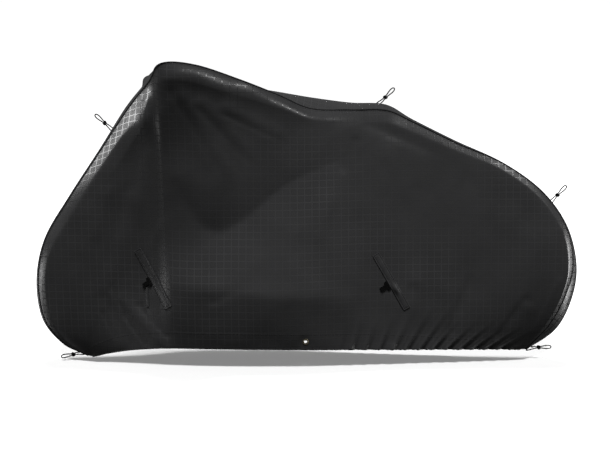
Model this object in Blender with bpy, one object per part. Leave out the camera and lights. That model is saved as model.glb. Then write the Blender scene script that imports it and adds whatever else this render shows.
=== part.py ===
"""Fitted outdoor cover of coated cloth, hung over a support, in metres, +Z up.

+X runs from the front end to the rear end, -Y is the near side.
The cover is one skin of cloth, cut into sewn panels. The skin is worked out as a grid:
its columns are sections that run from the near hem up the near side, over the centre
strip and down to the far hem, and its rows run from the front to the rear.
Heights in the tables are from 18 mm above the ground and lengths are from the cover's
middle; the pieces are moved so that the origin lies under the cloth at its top.
"""
import math

import bmesh
import bpy
import numpy as np
from mathutils import Vector
from mathutils.bvhtree import BVHTree

for old in list(bpy.data.objects):
    bpy.data.objects.remove(old, do_unlink=True)

# --- driving sizes -------------------------------------------------------------------
CLOTH = 0.0018            # coated cloth with its seams, as built
PULL_BACK = 0.0005        # each cut edge stops this far short of its seam line
LIFT = 0.0008             # what is sewn on stands this far off the cloth under it
HEM_BAND = 0.060          # height of the hem band
BELLY_AT = 0.27           # where a section is fullest, as a share of its height

# One row for each section, front hem to rear hem.
# x, z: outline in the centre plane. half: half width of the centre strip.
# inset: how far the seams lie inside the outline. turn: the widest place is turned, so
# the near seam lies this far back and the far seam this far forward.
# roll, reach: how far the side swells out below the seam, and over what distance.
# hem_x, hem_z, hem_half: the hem's end of the section. belly: swelling above the hem.
SECTION_COLUMNS = ("x", "z", "half", "inset", "turn", "roll", "reach",
                   "hem_x", "hem_z", "hem_half", "belly")
SECTIONS = (
    (-0.818, 0.006, 0.040, 0.007, 0.000, 0.004, 0.03, -0.795, 0.009, 0.046, 0.000),
    (-0.913, 0.050, 0.056, 0.016, 0.000, 0.014, 0.04, -0.768, 0.017, 0.058, 0.000),
    (-0.990, 0.148, 0.070, 0.022, 0.000, 0.024, 0.05, -0.740, 0.026, 0.072, 0.002),
    (-1.009, 0.300, 0.080, 0.022, 0.000, 0.034, 0.05, -0.709, 0.034, 0.088, 0.004),
    (-0.974, 0.455, 0.086, 0.017, 0.000, 0.044, 0.05, -0.676, 0.042, 0.104, 0.006),
    (-0.880, 0.612, 0.092, 0.016, 0.000, 0.056, 0.06, -0.642, 0.049, 0.120, 0.006),
    (-0.764, 0.786, 0.100, 0.018, 0.000, 0.075, 0.07, -0.606, 0.055, 0.136, 0.006),
    (-0.667, 0.940, 0.130, 0.020, 0.010, 0.075, 0.09, -0.568, 0.060, 0.152, 0.008),
    (-0.600, 1.025, 0.236, 0.006, 0.048, 0.020, 0.15, -0.525, 0.065, 0.168, 0.014),
    (-0.560, 1.071, 0.320, -0.006, 0.067, -0.060, 0.25, -0.475, 0.068, 0.182, 0.024),
    (-0.430, 1.053, 0.290, -0.022, 0.046, -0.080, 0.25, -0.405, 0.069, 0.196, 0.036),
    (-0.250, 1.018, 0.215, -0.011, 0.018, -0.060, 0.25, -0.300, 0.069, 0.205, 0.045),
    (-0.100, 0.997, 0.168, 0.018, 0.004, -0.030, 0.25, -0.195, 0.068, 0.207, 0.050),
    (0.030, 0.976, 0.125, 0.046, 0.000, 0.000, 0.20, -0.095, 0.067, 0.205, 0.052),
    (0.170, 0.958, 0.100, 0.031, 0.000, 0.014, 0.10, 0.005, 0.065, 0.199, 0.052),
    (0.300, 0.951, 0.100, 0.026, 0.000, 0.018, 0.08, 0.100, 0.063, 0.187, 0.048),
    (0.400, 0.896, 0.099, 0.014, 0.000, 0.018, 0.07, 0.185, 0.061, 0.172, 0.040),
    (0.560, 0.817, 0.097, 0.012, 0.000, 0.018, 0.06, 0.270, 0.058, 0.156, 0.030),
    (0.730, 0.739, 0.096, 0.008, 0.000, 0.022, 0.05, 0.355, 0.055, 0.140, 0.020),
    (0.881, 0.633, 0.093, 0.011, 0.000, 0.028, 0.05, 0.440, 0.052, 0.124, 0.012),
    (0.978, 0.505, 0.090, 0.018, 0.000, 0.034, 0.05, 0.521, 0.050, 0.109, 0.008),
    (1.020, 0.360, 0.086, 0.032, 0.000, 0.036, 0.05, 0.599, 0.047, 0.094, 0.004),
    (1.008, 0.230, 0.080, 0.047, 0.000, 0.030, 0.05, 0.673, 0.044, 0.078, 0.002),
    (0.949, 0.107, 0.066, 0.047, 0.000, 0.018, 0.04, 0.742, 0.041, 0.062, 0.000),
    (0.837, 0.027, 0.042, 0.012, 0.000, 0.004, 0.03, 0.806, 0.036, 0.046, 0.000),
)
TOP_ROW = 9               # the section at the cover's top

# Soft folds: each is a ridge, or with out below zero a trough, along a line.
FOLD_COLUMNS = ("x0", "z0", "x1", "z1", "wide", "out")
NEAR_FOLDS = (
    (-0.47, 0.96, -0.22, 0.74, 0.030, -0.016),
    (-0.43, 1.00, -0.10, 0.82, 0.030, 0.012),
    (-0.46, 0.90, -0.34, 0.62, 0.030, 0.014),
    (-0.50, 0.94, -0.52, 0.64, 0.035, 0.016),
    (-0.73, 0.62, -0.80, 0.42, 0.030, 0.010),
    (-0.62, 0.60, -0.68, 0.36, 0.030, 0.010),
    (0.13, 0.70, 0.07, 0.50, 0.030, 0.012),
    (0.19, 0.82, 0.14, 0.72, 0.022, -0.012),
    (0.10, 0.64, -0.30, 0.36, 0.045, 0.012),
    (-0.66, 0.24, -0.50, 0.07, 0.028, 0.010),
    (-0.60, 0.18, -0.52, 0.07, 0.018, -0.010),
    (-0.74, 0.24, -0.64, 0.08, 0.025, -0.008),
    (0.40, 0.30, 0.33, 0.06, 0.026, 0.010),
    (0.47, 0.24, 0.42, 0.05, 0.020, -0.010),
    (0.62, 0.30, 0.56, 0.06, 0.030, 0.008),
    (0.86, 0.45, 0.82, 0.22, 0.035, 0.008),
)
FAR_FOLDS = (
    (-0.54, 0.98, -0.30, 0.70, 0.035, -0.014),
    (-0.60, 0.92, -0.58, 0.60, 0.035, 0.014),
    (-0.50, 0.92, -0.10, 0.55, 0.040, 0.012),
    (0.15, 0.75, -0.20, 0.40, 0.045, 0.012),
    (0.20, 0.80, 0.24, 0.50, 0.035, -0.010),
    (-0.76, 0.60, -0.80, 0.30, 0.035, 0.010),
    (0.60, 0.40, 0.52, 0.06, 0.035, 0.010),
    (-0.64, 0.26, -0.52, 0.07, 0.030, 0.010),
)

# The deep tuck below the top: the cloth falls in to this line and swells out
# again below it. deep is how far it falls in.
TUCK_COLUMNS = ("x", "z", "deep")
TUCK = (
    (-0.430, 0.640, 0.012),
    (-0.397, 0.545, 0.034),
    (-0.325, 0.490, 0.052),
    (-0.200, 0.545, 0.046),
    (-0.054, 0.636, 0.034),
    (0.120, 0.735, 0.020),
    (0.184, 0.800, 0.008),
)
TUCK_ABOVE = 0.17         # how far above the line the cloth starts to fall in
TUCK_BELOW = 0.055        # how far below it the cloth is full again

PLEAT_PITCH = 0.050       # gathers of the elastic rear hem, peak to peak
PLEAT_OUT = 0.005
PLEAT_HIGH = 0.060
PLEATS_FROM = 0.115       # hem positions between which the gathers lie
PLEATS_TO = 0.790

PANEL_ROWS = 17
STRIP_ROWS = 6
FAR_PANEL_ROWS = 10
FRONT_STEPS = 2           # columns for each section ahead of the gathers
# The sections at which a side panel and the strip are joined. In these lengths each
# solid has one simple bend.
PANEL_LENGTHS = (("front", 0, 7), ("middle", 7, 17), ("rear", 17, 24))
STRIP_LENGTHS = (("front_low", 0, 3), ("front", 3, 8), ("top", 8, 14), ("rear", 14, 20),
                 ("rear_low", 20, 24))

# Eyelet: a ring pressed through the hem piece on each side.
EYELET_X = 0.001
EYELET_UP = 0.030         # height of its centre above the hem
EYELET_PIECE = 0.060      # length of the hem piece that holds it
EYELET_OUTER = 0.0115
EYELET_BORE = 0.0058
EYELET_BARREL = 0.0072
EYELET_FLANGE = 0.0012
EYELET_SIDES = 20

# Lock flaps: top and bottom end of each one's middle line.
FLAP_WIDE = 0.028
FLAP_THICK = 0.0022
FLAPS = (
    ("front", (-0.606, 0.424), (-0.488, 0.218)),
    ("rear", (0.255, 0.407), (0.372, 0.205)),
)
TAB_BAR = (0.034, 0.011)      # the tab's bar, along the flap, and its depth
TAB_STEM = (0.016, 0.024)     # width and length of the stem
TAB_THICK = 0.0030
STRAP = ((-0.5705, 0.2855), (-0.5725, 0.2600), (-0.5690, 0.2150))
STRAP_WIDE = 0.009
STRAP_THICK = 0.0014

# Cord loops: the outline position x, z where each leaves the strip, and the slope of
# the loop against +X, in degrees.
CORD = 0.0044
LOOPS = (
    ("front_low", -0.847, 0.0155, 192.0),
    ("front_high", -0.723, 0.861, 139.0),
    ("top", 0.277, 0.954, 46.0),
    ("rear_high", 0.925, 0.590, 46.5),
    ("rear_low", 0.854, 0.034, 2.0),
)
EXIT_APART = 0.0055       # half the space between the two strands where they leave
EXIT_STRAIGHT = 0.0055    # how far each strand runs straight out of the cloth
# Half of a loop: distance out from the cloth, and half the space between the strands.
LOOP_HALF = (
    (0.0150, 0.0040),
    (0.0230, 0.0028),
    (0.0270, 0.0025),
    (0.0370, 0.0025),
    (0.0450, 0.0036),
    (0.0560, 0.0054),
    (0.0660, 0.0062),
    (0.0730, 0.0055),
    (0.0775, 0.0034),
    (0.0790, 0.0000),
)
STRAND_ROW = 2            # the row of LOOP_HALF at which the strands enter the knot
KNOT_FROM = 0.0265
KNOT_TO = 0.0375
KNOT_GAP = 0.0008          # room between the knot and its strands


# --- the cover's skin ----------------------------------------------------------------
def smooth_rows(table, t):
    """Values of a table between its rows, on a smooth curve through them.

    Each stretch is a cubic whose slope at a row is half the step between the rows
    before and after it."""
    rows = np.asarray(table, dtype=float)
    padded = np.vstack((2 * rows[0] - rows[1], rows, 2 * rows[-1] - rows[-2]))
    k = np.clip(np.floor(t).astype(int), 0, len(rows) - 2)
    f = (t - k)[:, None]
    a, b, c, d = padded[k], padded[k + 1], padded[k + 2], padded[k + 3]
    return b + 0.5 * f * (c - a + f * (2 * a - 5 * b + 4 * c - d + f * (3 * (b - c) + d - a)))


def sections(t):
    """The section table's values at t, by column name."""
    return dict(zip(SECTION_COLUMNS, smooth_rows(SECTIONS, t).T))


def inward(t):
    """Unit vectors in the centre plane that point from the outline into the cover."""
    step = 0.01
    last = len(SECTIONS) - 1
    before = smooth_rows(SECTIONS, np.clip(t - step, 0, last))[:, :2]
    after = smooth_rows(SECTIONS, np.clip(t + step, 0, last))[:, :2]
    along = after - before
    along /= np.linalg.norm(along, axis=1)[:, None]
    return np.stack((along[:, 1], -along[:, 0]), axis=1)


def seam_and_hem(t, side):
    """Points of one side's seam and hem; side is -1 near, +1 far."""
    s = sections(t)
    n = inward(t)
    seam = np.stack((s["x"] + s["inset"] * n[:, 0] - side * s["turn"],
                     side * s["half"],
                     s["z"] + s["inset"] * n[:, 1]), axis=1)
    hem = np.stack((s["hem_x"], side * s["hem_half"], s["hem_z"]), axis=1)
    return seam, hem


def fold_height(x, z, folds):
    """Sum of the folds: a bell of the distance from each fold's line."""
    total = np.zeros_like(x)
    for row in folds:
        f = dict(zip(FOLD_COLUMNS, row))
        dx, dz = f["x1"] - f["x0"], f["z1"] - f["z0"]
        share = ((x - f["x0"]) * dx + (z - f["z0"]) * dz) / (dx * dx + dz * dz)
        share = np.clip(share, 0.0, 1.0)
        away = np.hypot(x - f["x0"] - share * dx, z - f["z0"] - share * dz)
        total += f["out"] * np.exp(-(away / f["wide"]) ** 2)
    return total


def tuck_depth(x, z):
    """How far the cloth falls in at the tuck: full on its line, fading over a long way
    above it and over a short way below it."""
    nearest = np.full(x.shape, 1e9)
    depth = np.zeros_like(x)
    for (x0, z0, d0), (x1, z1, d1) in zip(TUCK[:-1], TUCK[1:]):
        dx, dz = x1 - x0, z1 - z0
        share = np.clip(((x - x0) * dx + (z - z0) * dz) / (dx * dx + dz * dz), 0, 1)
        away = np.hypot(x - x0 - share * dx, z - z0 - share * dz)
        above = (z - z0) * dx - (x - x0) * dz > 0
        fade = np.where(above, np.exp(-away / TUCK_ABOVE), np.exp(-(away / TUCK_BELOW)))
        closer = away < nearest
        depth = np.where(closer, (d0 + share * (d1 - d0)) * fade, depth)
        nearest = np.where(closer, away, nearest)
    return depth


def side_points(t, v, side):
    """Points of one side panel at section t, from the hem, v = 0, to the seam, v = 1.

    In the side view a section is a straight line. Its distance from the centre plane
    runs evenly from hem to seam, plus the roll below the seam, the belly above the hem,
    the folds, the tuck and the gathers."""
    seam, hem = seam_and_hem(t, side)
    s = sections(t)
    length = np.hypot(seam[:, 0] - hem[:, 0], seam[:, 2] - hem[:, 2])[:, None]
    x = hem[:, :1] + (seam[:, :1] - hem[:, :1]) * v
    z = hem[:, 2:] + (seam[:, 2:] - hem[:, 2:]) * v
    down = (1 - v) * length
    up = v * length
    out = s["hem_half"][:, None] * (1 - v) + s["half"][:, None] * v
    out += s["roll"][:, None] * (1 - np.exp(-down / s["reach"][:, None])) * v
    fullest = BELLY_AT ** 1.5 * (1 - BELLY_AT) ** 4
    out += s["belly"][:, None] * v ** 1.5 * (1 - v) ** 4 / fullest
    free = 1 - np.exp(-(down / 0.05) ** 2)
    out += free * fold_height(x, z, NEAR_FOLDS if side < 0 else FAR_FOLDS)
    if side < 0:
        out -= free * tuck_depth(x, z)
    hem_x = s["hem_x"][:, None] + 0 * v
    gathered = (hem_x > PLEATS_FROM) & (hem_x < PLEATS_TO)
    wave = np.cos(2 * math.pi * (hem_x - PLEATS_FROM) / PLEAT_PITCH)
    out += np.where(gathered, PLEAT_OUT * wave * np.exp(-up / PLEAT_HIGH), 0.0)
    return np.stack((x, side * out, z), axis=2)


def strip_points(t, w):
    """Points of the centre strip, w = -1 at the near seam, 0 in the middle, 1 far.

    Across the strip the line is a parabola through both seams and the outline."""
    near, _ = seam_and_hem(t, -1)
    far, _ = seam_and_hem(t, 1)
    s = sections(t)
    middle = np.stack((s["x"], 0 * s["x"], s["z"]), axis=1)[:, None, :]
    half_across = ((far - near) / 2)[:, None, :]
    dip = ((far + near) / 2)[:, None, :] - middle
    return middle + half_across * w[..., None] + dip * (w ** 2)[..., None]


def t_at_hem(hem_x):
    """The section whose hem lies at hem_x."""
    t = np.linspace(0, len(SECTIONS) - 1, 2001)
    return np.interp(hem_x, sections(t)["hem_x"], t)


def column_places():
    """Columns: evenly ahead of the gathers, then one on each crest and trough of the
    gathers, and one at each end of the hem piece that holds the eyelet."""
    ends = t_at_hem(np.array([EYELET_X - EYELET_PIECE / 2, EYELET_X + EYELET_PIECE / 2]))
    first_pleat = float(t_at_hem(PLEATS_FROM))
    ahead = np.arange(0, first_pleat - 0.3, 1 / FRONT_STEPS)
    ahead = ahead[(ahead < ends[0] - 0.2) | (ahead > ends[1] + 0.2)]
    gathers = t_at_hem(np.arange(PLEATS_FROM, PLEATS_TO, PLEAT_PITCH / 2))
    t = np.concatenate((ahead, ends, gathers, [len(SECTIONS) - 1]))
    return np.sort(t), ends


T, EYELET_ENDS = column_places()
I_FRONT, I_REAR = (int(np.argmin(abs(T - end))) for end in EYELET_ENDS)


def band_share(side):
    """Height of the hem band as a share of each section; less where a section is short."""
    seam, hem = seam_and_hem(T, side)
    length = np.linalg.norm(seam - hem, axis=1)
    return np.minimum(HEM_BAND / length, 0.45)[:, None]


def side_rows(side, rows):
    share = band_share(side)
    return np.concatenate((0 * share, share + (1 - share) * np.linspace(0, 1, rows + 1)), axis=1)


NEAR = side_points(T, side_rows(-1, PANEL_ROWS), -1)
FAR = side_points(T, side_rows(1, FAR_PANEL_ROWS), 1)
ACROSS = np.linspace(-1, 1, STRIP_ROWS + 1)[None, :] + 0 * T[:, None]
STRIP = strip_points(T, ACROSS)
SKIN = np.concatenate((NEAR, STRIP[:, 1:-1], FAR[:, ::-1]), axis=1)
J_BAND = 1
J_NEAR_SEAM = NEAR.shape[1] - 1
J_FAR_SEAM = J_NEAR_SEAM + STRIP_ROWS
J_FAR_BAND = SKIN.shape[1] - 2

top = dict(zip(SECTION_COLUMNS, SECTIONS[TOP_ROW]))
ORIGIN = np.array([top["x"], 0.0, top["z"] - CLOTH])
SKIN = SKIN - ORIGIN


def unit(v):
    return v / np.linalg.norm(v, axis=-1, keepdims=True)


def bisector(points):
    """At each point of the first axis, the direction half way between the steps that
    lead to it and from it."""
    step = unit(np.diff(points, axis=0))
    return unit(np.concatenate((step[:1], step[1:] + step[:-1], step[-1:])))


def inner_skin(outer, thick):
    """The skin's inner side. Each point moves in along the normal of its neighbours,
    further where the skin bends, so that the cloth keeps its thickness."""
    along = bisector(outer)
    across = bisector(outer.swapaxes(0, 1)).swapaxes(0, 1)
    normal = unit(np.cross(along, across))
    face = unit(np.cross(along[:, 1:], np.diff(outer, axis=1)))
    bend = np.ones(outer.shape[:2])
    bend[:, 1:] = (normal[:, 1:] * face).sum(2)
    return outer - normal * (thick / np.clip(bend, 0.6, 1.0))[..., None]


INNER = inner_skin(SKIN, CLOTH)


# --- solids --------------------------------------------------------------------------
def material(name, colour, roughness, metallic=0.0):
    m = bpy.data.materials.new(name)
    m.use_nodes = True
    shader = m.node_tree.nodes["Principled BSDF"]
    shader.inputs["Base Color"].default_value = (*colour, 1.0)
    shader.inputs["Roughness"].default_value = roughness
    shader.inputs["Metallic"].default_value = metallic
    return m


COATED_CLOTH = material("coated cloth", (0.020, 0.020, 0.021), 0.42)
FLAP_CLOTH = material("flap cloth", (0.024, 0.024, 0.025), 0.45)
BLACK_RUBBER = material("black rubber", (0.008, 0.008, 0.008), 0.65)
DARK_CORD = material("dark cord", (0.012, 0.012, 0.012), 0.70)
AGED_BRASS = material("aged brass", (0.36, 0.24, 0.10), 0.38, 1.0)


def add_object(name, verts, faces, mat):
    mesh = bpy.data.meshes.new(name)
    mesh.from_pydata([tuple(map(float, v)) for v in verts], [], faces)
    mesh.materials.append(mat)
    ob = bpy.data.objects.new(name, mesh)
    bpy.context.collection.objects.link(ob)
    return ob


def pulled(grid, axis, end):
    """Moves one border row of a grid towards the row beside it."""
    grid = np.moveaxis(grid.copy(), axis, 0)
    border, beside = (0, 1) if end == 0 else (-1, -2)
    grid[border] += PULL_BACK * unit(grid[beside] - grid[border])
    return np.moveaxis(grid, 0, axis)


def sheet(name, outer, inner, mat):
    """A closed sheet from two grids of points. Both sides are split the same way, so
    that the cloth is equally thick everywhere."""
    n, m = outer.shape[:2]
    number = np.arange(n * m).reshape(n, m)
    a, b = number[:-1, :-1].ravel(), number[1:, :-1].ravel()
    c, d = number[1:, 1:].ravel(), number[:-1, 1:].ravel()
    top = np.concatenate((np.stack((a, b, c), 1), np.stack((a, c, d), 1)))
    ring = np.concatenate((number[:-1, 0], number[-1, :-1], number[:0:-1, -1], number[0, :0:-1]))
    after = np.roll(ring, -1)
    back = n * m
    walls = np.concatenate((np.stack((after, ring, ring + back), 1),
                            np.stack((after, ring + back, after + back), 1)))
    faces = np.concatenate((top, top[:, ::-1] + back, walls))
    verts = np.concatenate((outer.reshape(-1, 3), inner.reshape(-1, 3)))
    ob = add_object(name, verts, faces.tolist(), mat)
    ob.data.shade_smooth()
    ob.data.set_sharp_from_angle(angle=math.radians(50))
    return ob


def cloth_piece(name, columns, rows, mat=COATED_CLOTH):
    """One sewn piece of the skin, from column to column and from row to row."""
    i0, i1 = columns
    j0, j1 = rows
    layers = []
    for layer in (SKIN, INNER):
        grid = layer[i0:i1 + 1, j0:j1 + 1]
        for axis in (0, 1):
            for end in (0, 1):
                grid = pulled(grid, axis, end)
        layers.append(grid)
    return sheet(name, layers[0], layers[1], mat)


LAST = len(T) - 1


def column_at(section):
    return int(np.argmin(abs(T - section)))


def build_panels():
    for place, first, last in PANEL_LENGTHS:
        columns = (column_at(first), column_at(last))
        cloth_piece(f"near_panel_{place}", columns, (J_BAND, J_NEAR_SEAM))
        cloth_piece(f"far_panel_{place}", columns, (J_FAR_SEAM, J_FAR_BAND))
    for place, first, last in STRIP_LENGTHS:
        columns = (column_at(first), column_at(last))
        cloth_piece(f"strip_{place}", columns, (J_NEAR_SEAM, J_FAR_SEAM))
    for side, rows in (("near", (0, J_BAND)), ("far", (J_FAR_BAND, J_FAR_BAND + 1))):
        cloth_piece(f"{side}_hem_front", (0, I_FRONT), rows)
        cloth_piece(f"{side}_hem_rear", (I_REAR, LAST), rows)


def flat_frame(corners):
    """Centre and axes of a flat piece that replaces four corners of the skin: along the
    hem, up, and out of the cover."""
    low_front, low_rear, up_rear, up_front = corners
    centre = sum(corners) / 4
    along = unit((low_rear + up_rear - low_front - up_front) / 2)
    up = (up_front + up_rear - low_front - low_rear) / 2
    out = unit(np.cross(along, up))
    return centre, along, np.cross(out, along), out


def plate(name, outline, frame, low, high, mat):
    """A flat plate: its outline, as along and up sizes in the frame, between two
    distances out of the frame's plane."""
    centre, along, up, out = frame
    base = [centre + a * along + u * up for a, u in outline]
    verts = [p + low * out for p in base] + [p + high * out for p in base]
    n = len(base)
    faces = [list(range(n))[::-1], list(range(n, 2 * n))]
    faces += [[k, (k + 1) % n, (k + 1) % n + n, k + n] for k in range(n)]
    return add_object(name, verts, faces, mat)


def turned(name, profile, frame, sides, mat):
    """A ring turned about the frame's out axis, from a closed profile of radius and
    distance out, which runs round its section."""
    centre, along, up, out = frame
    verts = []
    for k in range(sides):
        turn = 2 * math.pi * k / sides
        ray = math.cos(turn) * along + math.sin(turn) * up
        verts += [centre + r * ray + h * out for r, h in profile]
    n = len(profile)
    faces = [[k * n + j, ((k + 1) % sides) * n + j,
              ((k + 1) % sides) * n + (j + 1) % n, k * n + (j + 1) % n]
             for k in range(sides) for j in range(n)]
    ob = add_object(name, verts, faces, mat)
    ob.data.shade_smooth()
    ob.data.set_sharp_from_angle(angle=math.radians(50))
    return ob


def build_eyelet(side):
    """The flat hem piece, its hole, and the ring whose two flanges hold the cloth."""
    band = (0, J_BAND) if side == "near" else (J_FAR_BAND, J_FAR_BAND + 1)
    low, high = band if side == "near" else band[::-1]
    corners = [SKIN[I_FRONT, low], SKIN[I_REAR, low], SKIN[I_REAR, high], SKIN[I_FRONT, high]]
    centre, along, up, out = flat_frame(corners)
    out = out if side == "near" else -out
    frame = (centre, along, up, out)
    outline = []
    for corner in corners:
        a, u = (corner - centre) @ along, (corner - centre) @ up
        outline.append((a - math.copysign(2 * PULL_BACK, a), u - math.copysign(2 * PULL_BACK, u)))
    if side == "far":
        outline = outline[::-1]
    piece = plate(f"{side}_hem_eyelet", outline, frame, -CLOTH, 0.0, COATED_CLOTH)
    middle = centre + ((np.array(corners[0]) + corners[1]) / 2 - centre) + EYELET_UP * up
    hole_frame = (middle, along, up, out)
    wall = [(math.cos(2 * math.pi * k / EYELET_SIDES), math.sin(2 * math.pi * k / EYELET_SIDES))
            for k in range(EYELET_SIDES)]
    bore = EYELET_BARREL + 0.0004
    round_hole = [(bore * c, bore * s) for c, s in wall]
    if side == "far":
        round_hole = round_hole[::-1]
    cutter = plate(f"{side}_eyelet_cutter", round_hole, hole_frame, -0.01, 0.01, COATED_CLOTH)
    cutter.hide_render = True
    cutter.display_type = "WIRE"
    cut = piece.modifiers.new("hole", "BOOLEAN")
    cut.operation = "DIFFERENCE"
    cut.object = cutter
    gap = 0.0003
    face, back = gap, -CLOTH - gap
    rim = EYELET_FLANGE
    ring = (
        (EYELET_BORE, back - rim * 0.4),
        (EYELET_BORE + 0.0012, back - rim),
        (EYELET_OUTER - 0.0012, back - rim * 0.8),
        (EYELET_OUTER, back),
        (EYELET_BARREL, back),
        (EYELET_BARREL, face),
        (EYELET_OUTER, face),
        (EYELET_OUTER - 0.0012, face + rim * 0.8),
        (EYELET_BORE + 0.0012, face + rim),
        (EYELET_BORE, face + rim * 0.4),
    )
    profile = ring if side == "near" else ring[::-1]
    turned(f"{side}_eyelet", profile, hole_frame, EYELET_SIDES, AGED_BRASS)


# --- what is sewn on the sides ---------------------------------------------------------
def skin_tree():
    n, m = SKIN.shape[:2]
    number = np.arange(n * m).reshape(n, m)
    a, b = number[:-1, :-1].ravel(), number[1:, :-1].ravel()
    c, d = number[1:, 1:].ravel(), number[:-1, 1:].ravel()
    faces = np.concatenate((np.stack((a, b, c), 1), np.stack((a, c, d), 1)))
    return BVHTree.FromPolygons([Vector(p) for p in SKIN.reshape(-1, 3)], faces.tolist())


TREE = skin_tree()


def cloth_out(x, z, side):
    """Distance of the cloth from the centre plane at x, z, given in the tables' terms."""
    start = Vector((x - ORIGIN[0], side * 1.0, z - ORIGIN[2]))
    hit = TREE.ray_cast(start, Vector((0, -side, 0)))[0]
    return abs(hit.y)


def highest_near(x, z, side, reach):
    """The furthest out that the cloth lies within reach of x, z."""
    return max(cloth_out(x + a * reach, z + b * reach, side)
               for a in (-1, -0.5, 0, 0.5, 1) for b in (-1, -0.5, 0, 0.5, 1))


def sewn_strip(name, middle, wide, thick, side, cells, mat):
    """A strip that lies on the cloth along a line, a little above its highest points."""
    line = np.array(middle, dtype=float)
    length = np.concatenate(([0], np.cumsum(np.linalg.norm(np.diff(line, axis=0), axis=1))))
    places = np.linspace(0, length[-1], cells + 1)
    points = np.stack([np.interp(places, length, line[:, k]) for k in (0, 1)], axis=1)
    tangent = unit(np.gradient(points, axis=0))
    normal = np.stack((-tangent[:, 1], tangent[:, 0]), axis=1)
    reach = max(wide / 2, length[-1] / cells) / 2
    under = np.zeros((cells + 1, 3, 3))
    for i, (p, n) in enumerate(zip(points, normal)):
        for j, across in enumerate((-0.5, 0.0, 0.5)):
            x, z = p + across * wide * n
            out = highest_near(x, z, side, reach) + LIFT
            under[i, j] = (x, side * out, z)
    under -= ORIGIN
    over = under + np.array([0, side * thick, 0])
    if side > 0:
        under, over = under[::-1], over[::-1]
    return sheet(name, over, under, mat)


def on_cloth_frame(x, z, along, side, size):
    """A flat frame laid on the cloth at x, z, with its first axis along a direction of
    the side view, raised to clear the cloth within size."""
    ax, az = along
    ux, uz = (-az, ax) if side < 0 else (az, -ax)
    def point(a, u):
        px, pz = x + a * ax + u * ux, z + a * az + u * uz
        return np.array([px, side * cloth_out(px, pz, side), pz]) - ORIGIN
    reach = size / 2
    run = unit(point(reach, 0) - point(-reach, 0))
    rise = point(0, reach) - point(0, -reach)
    out = unit(np.cross(run, rise))
    up = np.cross(out, run)
    centre = point(0, 0)
    grid = np.linspace(-reach, reach, 7)
    raise_by = max((point(a, u) - centre) @ out for a in grid for u in grid) + LIFT
    return centre + raise_by * out, run, up, out


def build_flaps(side_name, side):
    for place, top, bottom in FLAPS:
        sewn_strip(f"{side_name}_{place}_flap", (top, bottom), FLAP_WIDE, FLAP_THICK, side, 9,
                   FLAP_CLOTH)
        run = np.array(bottom) - np.array(top)
        run = run / np.linalg.norm(run)
        away = np.array([run[1], -run[0]])            # towards the front and down
        beside = (np.array(top) + bottom) / 2 + 0.006 * run
        centre = beside + away * (FLAP_WIDE / 2 + 0.0012 + (TAB_BAR[1] + TAB_STEM[1]) / 2)
        frame = on_cloth_frame(*centre, run, side, 0.036)
        half_bar, half_stem = TAB_BAR[0] / 2, TAB_STEM[0] / 2
        deep = (TAB_BAR[1] + TAB_STEM[1]) / 2
        shape = [(-half_stem, -deep), (half_stem, -deep), (half_stem, deep - TAB_BAR[1]),
                 (half_bar, deep - TAB_BAR[1]), (half_bar, deep), (-half_bar, deep),
                 (-half_bar, deep - TAB_BAR[1]), (-half_stem, deep - TAB_BAR[1])]
        if side > 0:
            shape = [(a, -u) for a, u in shape][::-1]
        plate(f"{side_name}_{place}_tab", shape, frame, 0.0, TAB_THICK, BLACK_RUBBER)


# --- cord loops ------------------------------------------------------------------------
def leaving(root, axis, beside, offset):
    """Where one strand leaves the strip: a point just off the cloth, and one further
    out along the cloth's normal."""
    start = root + offset * beside + 0.04 * axis
    hit, normal = TREE.ray_cast(Vector(start), Vector(-axis))[:2]
    out = unit(np.array([normal.x, 0.0, normal.z]))
    hit = np.array(hit)
    return [hit + 0.0006 * out, hit + EXIT_STRAIGHT * unit(out + 0.3 * axis)]


def loop_route(root, axis, beside):
    """A loop from cloth to cloth on one smooth curve, a point every two diameters."""
    one_half = [root + a * axis + b * beside for a, b in LOOP_HALF]
    other_half = [root + a * axis - b * beside for a, b in LOOP_HALF[-2::-1]]
    route = leaving(root, axis, beside, EXIT_APART) + one_half + other_half
    route += leaving(root, axis, beside, -EXIT_APART)[::-1]
    return smooth_rows(route, np.linspace(0, len(route) - 1, 36))


def build_loop(name, x, z, slope):
    turn = math.radians(slope)
    axis = np.array([math.cos(turn), 0.0, math.sin(turn)])
    beside = np.array([-math.sin(turn), 0.0, math.cos(turn)])
    root = np.array([x, 0.0, z]) - ORIGIN
    curve = bpy.data.curves.new(f"loop_{name}", "CURVE")
    curve.dimensions = "3D"
    curve.bevel_depth = CORD / 2
    curve.bevel_resolution = 2
    curve.use_fill_caps = True
    route = loop_route(root, axis, beside)
    spline = curve.splines.new("POLY")
    spline.points.add(len(route) - 1)
    for point, place in zip(spline.points, route):
        point.co = (*place, 1.0)
    curve.materials.append(DARK_CORD)
    ob = bpy.data.objects.new(f"loop_{name}", curve)
    bpy.context.collection.objects.link(ob)
    build_knot(name, root, axis, beside)


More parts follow.
